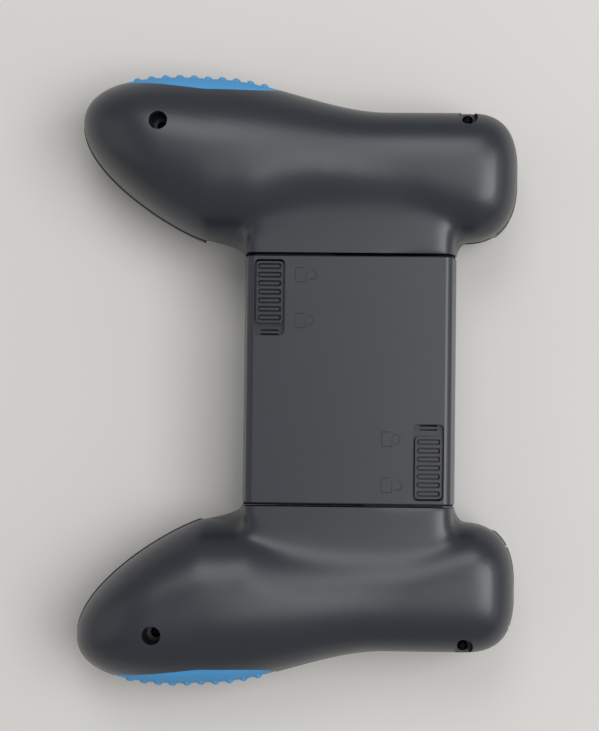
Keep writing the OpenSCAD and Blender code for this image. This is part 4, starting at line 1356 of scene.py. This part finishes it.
class GAMEPAD_OT_lock_sliders(bpy.types.Operator):
    """Build the two lock sliders with their finger grooves"""

    bl_idname = "gamepad.lock_sliders"
    bl_label = "Lock Sliders"

    BASE_GAP = 0.1
    BASE_T = 1
    BASE_R = 0.6
    KNOB_R = 0.9
    KNOB_ROOT = 0.5
    RAIL = 0.4
    GROOVE_R = 0.6
    BAR_R = 0.12
    BAR_SUNK = 0.1
    BAR_ROOT = 3
    # Bar behind the knob: distance from the slot's end, half length, and how far it runs into the plate
    TAIL_AT = 0.95
    TAIL_HALF = 2.5
    TAIL_ROOT = 0.2
    EDGE = 0.1

    def execute(self, context):
        for side in SIDES:
            place(
                self.slider(side), side + "_lock", finish(graphite_abs),
                [side + "_lock_slider"], crease=40,
            )
        return {"FINISHED"}

    def slider(self, side):
        """Knob on its base plate."""
        box = in_mm(settings().box)
        slot = slot_places()
        low, high = cad_box(side + "_lock_slider")
        base_top = BACK_Z - box.cover_t - self.BASE_GAP
        base_v = sorted(SIDES[side] * (y - BOX_Y) for y in (low.y, high.y))
        base_u = sorted(abs(x) for x in (low.x, high.x))
        outline = rounded_rectangle((base_u[0], base_v[0]), (base_u[1], base_v[1]), self.BASE_R)
        slider = prism(side + "_lock_knob", box_outline(side, outline), base_top - self.BASE_T, base_top)
        half = box.knob_width / 2
        corners = ((slot.knob[0], slot.middle_v - half), (slot.knob[1], slot.middle_v + half))
        outline = rounded_rectangle(*corners, self.KNOB_R)
        carve(slider, [prism("knob", box_outline(side, outline), base_top - self.KNOB_ROOT, high.z)], "UNION")
        pitch = (box.knob_length - self.RAIL) / box.knob_grooves
        first = (slot.knob[0] + slot.knob[1] - pitch * (box.knob_grooves - 1)) / 2
        # Bars in the knob stand free in their moats, the bar behind the knob is held at both ends
        grooves = []
        for i in range(box.knob_grooves):
            grooves.append((first + pitch * i, half - self.RAIL, high.z, box.groove_moat))
        grooves.append((slot.u[0] + self.TAIL_AT, self.TAIL_HALF, base_top, -self.TAIL_ROOT))
        carve(slider, [self.moat(side, *groove) for groove in grooves])
        return soften(slider, self.EDGE)

    def moat(self, side, u, reach, top, end_moat):
        """Cutter for a finger groove that leaves a bar standing in it."""
        box = in_mm(settings().box)
        v = slot_places().middle_v
        half = box.groove_width / 2
        outlines = []
        for across, along, radius in (
            (half, reach, self.GROOVE_R), (half - box.groove_moat, reach - end_moat, self.BAR_R),
        ):
            flat = rounded_rectangle((u - across, v - along), (u + across, v + along), radius)
            outlines.append(box_outline(side, flat))
        moat = prism("moat", outlines[0], top - box.groove_depth, top + PAST)
        return carve(moat, [prism("bar", outlines[1], top - self.BAR_ROOT, top - self.BAR_SUNK)])


# Screws
class GAMEPAD_OT_screws(bpy.types.Operator):
    """Set the cross-head screws of the case, the necks and the tray"""

    bl_idname = "gamepad.screws"
    bl_label = "Screws"

    CASE_HEAD_R = 1.4
    CASE_LONG = 8.6
    TRAY_HEAD_R = 1.8
    TRAY_LONG = 9
    HEAD_T = 1.3
    RIM_T = 0.45
    SHANK_R = 1.2
    POINT_R = 0.72
    POINT_T = 0.6
    # Cross recess: reach as a share of the head, half width and corners of an arm, and depth
    CROSS_SHARE = 0.7
    CROSS_HALF = 0.28
    CROSS_R = 0.1
    CROSS_DEPTH = 0.75
    # Screws from the front: seat over the parting plane, places in the necks and along the tray
    FRONT_SEAT = 1.25
    NECK_INSET = 3.6
    NECK_SPREAD = 6
    TRAY_REACHES = (10, 26)

    def execute(self, context):
        form = GripForm()
        tree = screw_tree()
        front_z = PART_Z + self.FRONT_SEAT
        neck_u = SEAM_U + in_mm(settings().box).seam_gap + self.NECK_INSET
        for side, way in SIDES.items():
            points = []
            for (u, v), floor in zip(form.case_screws(), form.WELL_FLOORS):
                points.append((way * u, v, PART_Z + floor + SEAT_GAP, 0))
            middle_v = cad_middle(side + "_slide_tongue").y
            for spread in (-self.NECK_SPREAD, self.NECK_SPREAD):
                points.append((way * neck_u, middle_v + spread, front_z, math.pi))
            screw = self.screw(self.CASE_LONG, self.CASE_HEAD_R)
            self.set_screws(tree, side + "_screw_set", points, screw, side + "_grip", side + "_case_screws")
        points = [(way * u, BOX_Y, front_z, math.pi) for way in SIDES.values() for u in self.TRAY_REACHES]
        screw = self.screw(self.TRAY_LONG, self.TRAY_HEAD_R)
        self.set_screws(tree, "tray_screw_set", points, screw, "centre", "tray_screws")
        return {"FINISHED"}

    @staticmethod
    def set_screws(tree, name, points, screw, body, node):
        """Places one screw on each point."""
        mesh = bpy.data.meshes.new(name)
        mesh.from_pydata([p[:3] for p in points], [], [])
        turned = mesh.attributes.new("turned", "FLOAT", "POINT")
        turned.data.foreach_set("value", [p[3] for p in points])
        holder = bpy.data.objects.new(name, mesh)
        bpy.context.scene.collection.objects.link(holder)
        # The screws take the near black that paints the shade in their wells
        grow(holder, tree, {"Screw": screw, "Material": finish(screw_steel_painted_shade)})
        bpy.data.objects.remove(screw)
        place(holder, body, finish(screw_steel_painted_shade), [node])

    def screw(self, long, head_r):
        """Pan head with a cross recess on a shank, seat at the origin."""
        top = self.HEAD_T
        crown = top - self.RIM_T
        profile = [(0, -long), (self.POINT_R, -long), (self.SHANK_R, self.POINT_T - long)]
        profile += [(self.SHANK_R, 0), (head_r, 0)]
        for a in ramp(0, math.pi / 2, steps=8)[:-1]:
            profile.append((head_r * math.cos(a), self.RIM_T + crown * math.sin(a)))
        screw = lathe("screw", (0, 0), profile + [(0, top)], sides=40)
        cross = cross_outline((0, 0), self.CROSS_SHARE * head_r, self.CROSS_HALF, self.CROSS_R)
        return carve(screw, [prism("cross", cross, top - self.CROSS_DEPTH, top + PAST)])


# Sticks and keys
class GAMEPAD_OT_sticks(bpy.types.Operator):
    """Build the caps of the two thumb sticks"""

    bl_idname = "gamepad.sticks"
    bl_label = "Stick Caps"

    CAP_R = 7.5
    RIM_R = 1.05
    RIM_T = 0.45
    # Dished face of the cap, and its underside down the stem, as radius and height over the table
    FACE = ((0, 1), (2, 0.95), (4, 0.7), (5.4, 0.25), (6, 0.04))
    UNDERSIDE = ((3.2, 2.75), (2.7, 3.3), (2.6, 3.9), (2.6, 6.2))
    STEM_R = 2.6
    # Dome: depth of its pivot under the parting plane, radius, wall, and depth of its foot under the pivot
    PIVOT_DEPTH = 2
    DOME_R = 10.8
    DOME_WALL = 1
    DOME_FOOT = 3.5
    # Bumps on the rim: count, radius, inset of their middles from the rim, and height
    BUMPS = 40
    BUMP_R = 0.26
    BUMP_INSET = 0.28
    BUMP_Z = 1.35

    def execute(self, context):
        tree = knurl_tree()
        silicone = finish(black_silicone)
        profile = self.profile()
        for side in SIDES:
            middle = cad_middle(side + "_stick_cap")
            cap = lathe(side + "_stick_cap_skin", (middle.x, middle.y), profile)
            bumps = {
                "Count": self.BUMPS, "Rim": self.CAP_R - self.BUMP_INSET, "Bump": self.BUMP_R,
                "Place": (middle.x, middle.y, self.BUMP_Z), "Material": silicone,
            }
            grow(cap, tree, bumps)
            place(cap, side + "_stick", silicone, [side + "_stick_cap"], crease=60)
        return {"FINISHED"}

    def profile(self):
        """Cap, stem and hollow dome as radius and height, from the face round to the axis again."""
        edge = self.CAP_R - self.RIM_R
        rim = arc((edge, self.RIM_R), self.RIM_R, 270, 360, steps=8)
        rim += arc((edge, self.RIM_R + self.RIM_T), self.RIM_R, 0, 90, steps=8)
        start = math.asin(self.STEM_R / self.DOME_R)
        foot = math.pi / 2 - math.asin(self.DOME_FOOT / self.DOME_R)
        outer = self.dome(self.DOME_R, start, foot)
        inner = self.dome(self.DOME_R - self.DOME_WALL, foot, 0)
        return [*self.FACE, *rim, *self.UNDERSIDE, *outer, *inner[:-1], (0, inner[-1][1])]

    def dome(self, radius, start, end):
        """Arc about the pivot, as radius and height."""
        pivot = PART_Z - self.PIVOT_DEPTH
        return [(radius * math.sin(a), pivot - radius * math.cos(a)) for a in ramp(start, end, steps=16)]


class GAMEPAD_OT_keys(bpy.types.Operator):
    """Build the face keys, the small keys and the direction cross"""

    bl_idname = "gamepad.keys"
    bl_label = "Keys"

    # Round edge and crown of a face key and of a small key
    FACE_TOP = (0.9, 0.25)
    SMALL_TOP = (0.45, 0.1)
    FLANGE = 0.8
    FLANGE_T = 1.05
    STEM_STEP = 0.6
    LEAST_STEM = 1.2
    # Direction cross: arms, edge, flange, pips, bowl in the middle and room for the ball that it rocks on
    ARM = (10, 3.7)
    ARM_EDGE = 0.6
    ARM_ROOT = 0.4
    CROSS_FLANGE_T = 0.8
    PIP_REACH = 7.6
    PIP_R = 0.8
    PIP_DEPTH = 0.25
    BOWL_R = 8
    BOWL_MOUTH_R = 5.6
    BOWL_DEPTH = 0.75
    BOWL_CUT = 3
    BALL_ROOM_R = 3
    BALL_ROOM = (-1, 2)

    def execute(self, context):
        for i in range(1, 5):
            self.round_key("face_button_%d" % i, "face_%d_key" % i, *self.FACE_TOP)
        for name in ("start", "home", "select", "mode"):
            self.round_key(name + "_button", name + "_key", *self.SMALL_TOP)
        self.direction_cross()
        return {"FINISHED"}

    def round_key(self, node, body, edge, crown):
        """Domed cap with a round edge over its flange."""
        grip = in_mm(settings().grip)
        low, high = cad_box(node)
        middle = cad_middle(node)
        flange = (high.x - low.x) / 2
        r = flange - self.FLANGE
        flange_z = PART_Z - grip.front_drop + grip.wall + SLIDE_GAP
        profile = [(x, low.z + crown * (x / (r - edge)) ** 2) for x in ramp(0, r - edge, steps=8)]
        profile += arc((r - edge, low.z + crown + edge), edge, 270, 360, steps=8)
        profile += [(r, flange_z), (flange, flange_z), (flange, flange_z + self.FLANGE_T)]
        if high.z - flange_z > self.LEAST_STEM:
            stem_r = r - self.STEM_STEP
            profile += [(stem_r, flange_z + self.FLANGE_T), (stem_r, high.z)]
        key = lathe(node + "_cap", (middle.x, middle.y), profile + [(0, profile[-1][1])], sides=64)
        place(key, body, finish(graphite_abs), [node], crease=50)

    def direction_cross(self):
        """Cross with a dished middle, soft edges and a pip on each arm."""
        low, high = cad_box("dpad_cross")
        middle = cad_middle("dpad_cross")
        at = (middle.x, middle.y)
        flange_z = high.z - self.CROSS_FLANGE_T
        cross = prism("dpad_cross_cap", cross_outline(at, *self.ARM), low.z, flange_z + self.ARM_ROOT)
        soften(cross, self.ARM_EDGE, segments=4)
        cuts = []
        for x, y in arc(at, self.PIP_REACH, 0, 270, steps=3):
            cuts.append(rod("pip", (x, y), self.PIP_R, low.z - PAST, low.z + self.PIP_DEPTH, sides=24))
        bowl = [(0, low.z - self.BOWL_CUT), (self.BOWL_R, low.z - self.BOWL_CUT)]
        for r in ramp(self.BOWL_R, 0, steps=10):
            bowl.append((r, low.z + self.BOWL_DEPTH * (1 - (r / self.BOWL_MOUTH_R) ** 2)))
        cuts.append(lathe("bowl", at, bowl))
        room_low, room_high = (flange_z + z for z in self.BALL_ROOM)
        cuts.append(rod("room", at, self.BALL_ROOM_R, room_low, room_high, sides=40))
        carve(cross, [rod("flange", at, (high.x - low.x) / 2, flange_z, high.z, sides=64)], "UNION")
        carve(cross, cuts)
        place(cross, "dpad_key", finish(graphite_abs), ["dpad_cross"], crease=40)


class GAMEPAD_OT_shoulder_keys(bpy.types.Operator):
    """Build the bumpers and triggers of the top edge"""

    bl_idname = "gamepad.shoulder_keys"
    bl_label = "Shoulder Keys"

    FACE_DEPTH = 5
    EYE_R = 2.4
    WEB_HALF = 2.2
    WEB_END = 4.4
    BORE_R = 1.06
    EDGE = 0.25

    def execute(self, context):
        form = GripForm()
        for side in SIDES:
            for node in (side + "_bumper", side + "_trigger"):
                place(
                    self.key(form, node), node + "_key", finish(graphite_abs), [node],
                    mirrored=side == "right",
                )
        return {"FINISHED"}

    def key(self, form, node):
        """Slice of the front's skin with an eye for the pin."""
        low, high = cad_box(node.replace("right", "left"))
        pin = cad_middle("left_shoulder_pin")
        at = (pin.x, pin.y)
        key = form.skin(node + "_cap", -form.size.reveal, False, along=140)
        face = block("face", (low.x, form.half - self.FACE_DEPTH, low.z), (high.x, FAR, high.z))
        carve(key, [face], "INTERSECT")
        eye = rod("eye", at, self.EYE_R, low.z, high.z, sides=40)
        web_low, web_high = (pin.x - self.WEB_HALF, pin.y), (pin.x + self.WEB_HALF, form.half - self.WEB_END)
        carve(key, [eye, block("web", (*web_low, low.z), (*web_high, high.z))], "UNION")
        carve(key, [rod("bore", at, self.BORE_R, low.z - PAST, high.z + PAST, sides=32)])
        return soften(key, self.EDGE, angle=50)


# Inner parts
class GAMEPAD_OT_inner_parts(bpy.types.Operator):
    """Finish the jaw pads, the sliding tongues and the parts inside"""

    bl_idname = "gamepad.inner_parts"
    bl_label = "Inner Parts"

    PAD_EDGE = 0.2
    TONGUE_EDGE = 0.12
    # Finish of the CAD nodes that stay as they are, by the end of their names
    NODE_FINISHES = {
        "_circuit_board": solder_masked_board, "_battery": cell_foil, "_key_membrane": black_silicone,
        "_charging_port": zinc_steel, "_stick_module": graphite_abs, "_stick_gimbal": zinc_steel,
        "_stick_stem": acetal, "_shoulder_pin": zinc_steel, "_lock_pawl": zinc_steel, "_lock_bridge": acetal,
        "dpad_pivot": zinc_steel,
    }

    def execute(self, context):
        for side in SIDES:
            pad = soften(cad_copy(side + "_jaw_pad", side + "_jaw_pad_skin"), self.PAD_EDGE)
            place(pad, side + "_grip", finish(azure_rubber), [side + "_jaw_pad"])
            tongue = soften(cad_copy(side + "_slide_tongue", side + "_tongue_skin"), self.TONGUE_EDGE)
            place(tongue, side + "_grip", finish(acetal), [side + "_slide_tongue"])
        for node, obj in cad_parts.items():
            for ending, make in self.NODE_FINISHES.items():
                if node.endswith(ending):
                    obj.data.materials.clear()
                    obj.data.materials.append(finish(make))
        return {"FINISHED"}


# Stage
def turn_axes(a, b, angle):
    """Two axes turned by an angle in their plane, the first towards the second."""
    return math.cos(angle) * a + math.sin(angle) * b, math.cos(angle) * b - math.sin(angle) * a


class GAMEPAD_OT_stage(bpy.types.Operator):
    """Set the floor, the soft lights and the camera"""

    bl_idname = "gamepad.stage"
    bl_label = "Stage"

    # Name of a light, its place and width in metres, and its watts
    LIGHTS = (
        ("window", (0.1, 1.2, 0.9), 1.5, 5),
        ("ceiling", (0, 0.66, 1.4), 1, 14.2),
        ("wall", (0, -1.3, 0.7), 1.2, 1.6),
        ("lamp", (-0.75, -0.05, 1.25), 0.6, 4.2),
    )
    ROOM_COLOUR = (1, 0.985, 0.96, 1)
    ROOM_STRENGTH = 0.38
    # Half width of the floor and height that the camera aims at, in metres, and sensor width in millimetres
    FLOOR_HALF = 2
    AIM_Z = 0.025
    SENSOR = 36

    def execute(self, context):
        self.floor()
        for light in self.LIGHTS:
            self.light(*light)
        world = bpy.data.worlds.new("studio")
        world.use_nodes = True
        background = world.node_tree.nodes["Background"]
        background.inputs["Color"].default_value = self.ROOM_COLOUR
        background.inputs["Strength"].default_value = self.ROOM_STRENGTH
        context.scene.world = world
        context.scene.view_settings.view_transform = "Standard"
        self.camera(context)
        return {"FINISHED"}

    def floor(self):
        """Pale table top under the stick caps."""
        bm = bmesh.new()
        corners = ((-1, -1), (1, -1), (1, 1), (-1, 1))
        bm.faces.new([bm.verts.new((x * self.FLOOR_HALF, y * self.FLOOR_HALF, 0)) for x, y in corners])
        floor = as_object("floor", bm)
        if floor.data.polygons[0].normal.z < 0:
            floor.data.flip_normals()
        floor.data.materials.append(finish(table_laminate))

    @staticmethod
    def light(name, at, across, watts):
        """Square soft light that looks at the gamepad."""
        lamp = bpy.data.lights.new(name, "AREA")
        lamp.size = across
        lamp.energy = watts
        obj = bpy.data.objects.new(name, lamp)
        obj.location = at
        obj.rotation_euler = (-Vector(at)).to_track_quat("-Z", "Y").to_euler()
        bpy.context.scene.collection.objects.link(obj)

    def camera(self, context):
        """Camera over the back, with the top edge to the right of the picture."""
        aim = settings().camera
        # Axes of the picture in the part's frame: right, down and towards the camera
        right, down, near = Vector((0, 1, 0)), Vector((1, 0, 0)), Vector((0, 0, 1))
        right, near = turn_axes(right, near, aim.tip)
        down, near = turn_axes(down, near, aim.lean)
        down, right = turn_axes(down, right, aim.roll)
        data = bpy.data.cameras.new("camera")
        data.sensor_fit = "HORIZONTAL"
        data.sensor_width = self.SENSOR
        data.lens = aim.lens
        data.shift_x = aim.shift_x
        data.shift_y = aim.shift_y
        camera = bpy.data.objects.new("camera", data)
        turn = Matrix((right, -down, near)).transposed().to_4x4()
        camera.matrix_world = Matrix.Translation(Vector((0, 0, self.AIM_Z)) + near * aim.distance) @ turn
        context.scene.collection.objects.link(camera)
        context.scene.camera = camera


# Panel and registration
OPERATORS = (
    GAMEPAD_OT_back_shells, GAMEPAD_OT_front_shells, GAMEPAD_OT_grip_inserts, GAMEPAD_OT_centre_box,
    GAMEPAD_OT_lock_sliders, GAMEPAD_OT_screws, GAMEPAD_OT_sticks, GAMEPAD_OT_keys, GAMEPAD_OT_shoulder_keys,
    GAMEPAD_OT_inner_parts, GAMEPAD_OT_stage,
)


class GAMEPAD_PT_pieces(bpy.types.Panel):
    """Pieces of the gamepad in the order in which they are built"""

    bl_label = "Gamepad"
    bl_space_type = "VIEW_3D"
    bl_region_type = "UI"
    bl_category = "Gamepad"

    def draw(self, context):
        for operator in OPERATORS:
            self.layout.operator(operator.bl_idname)


CLASSES = (
    GAMEPAD_PG_grip, GAMEPAD_PG_box, GAMEPAD_PG_rubber, GAMEPAD_PG_finish, GAMEPAD_PG_camera,
    GAMEPAD_PG_settings, *OPERATORS, GAMEPAD_PT_pieces,
)


def register():
    """Makes the classes and the scene's settings known."""
    for cls in CLASSES:
        bpy.utils.register_class(cls)
    bpy.types.Scene.gamepad = PointerProperty(type=GAMEPAD_PG_settings)


def unregister():
    """Takes the settings and classes out again."""
    del bpy.types.Scene.gamepad
    for cls in reversed(CLASSES):
        bpy.utils.unregister_class(cls)


def main():
    """Builds every piece and the stage."""
    register()
    for operator in OPERATORS:
        group, name = operator.bl_idname.split(".")
        getattr(getattr(bpy.ops, group), name)()


if __name__ == "__main__":
    main()
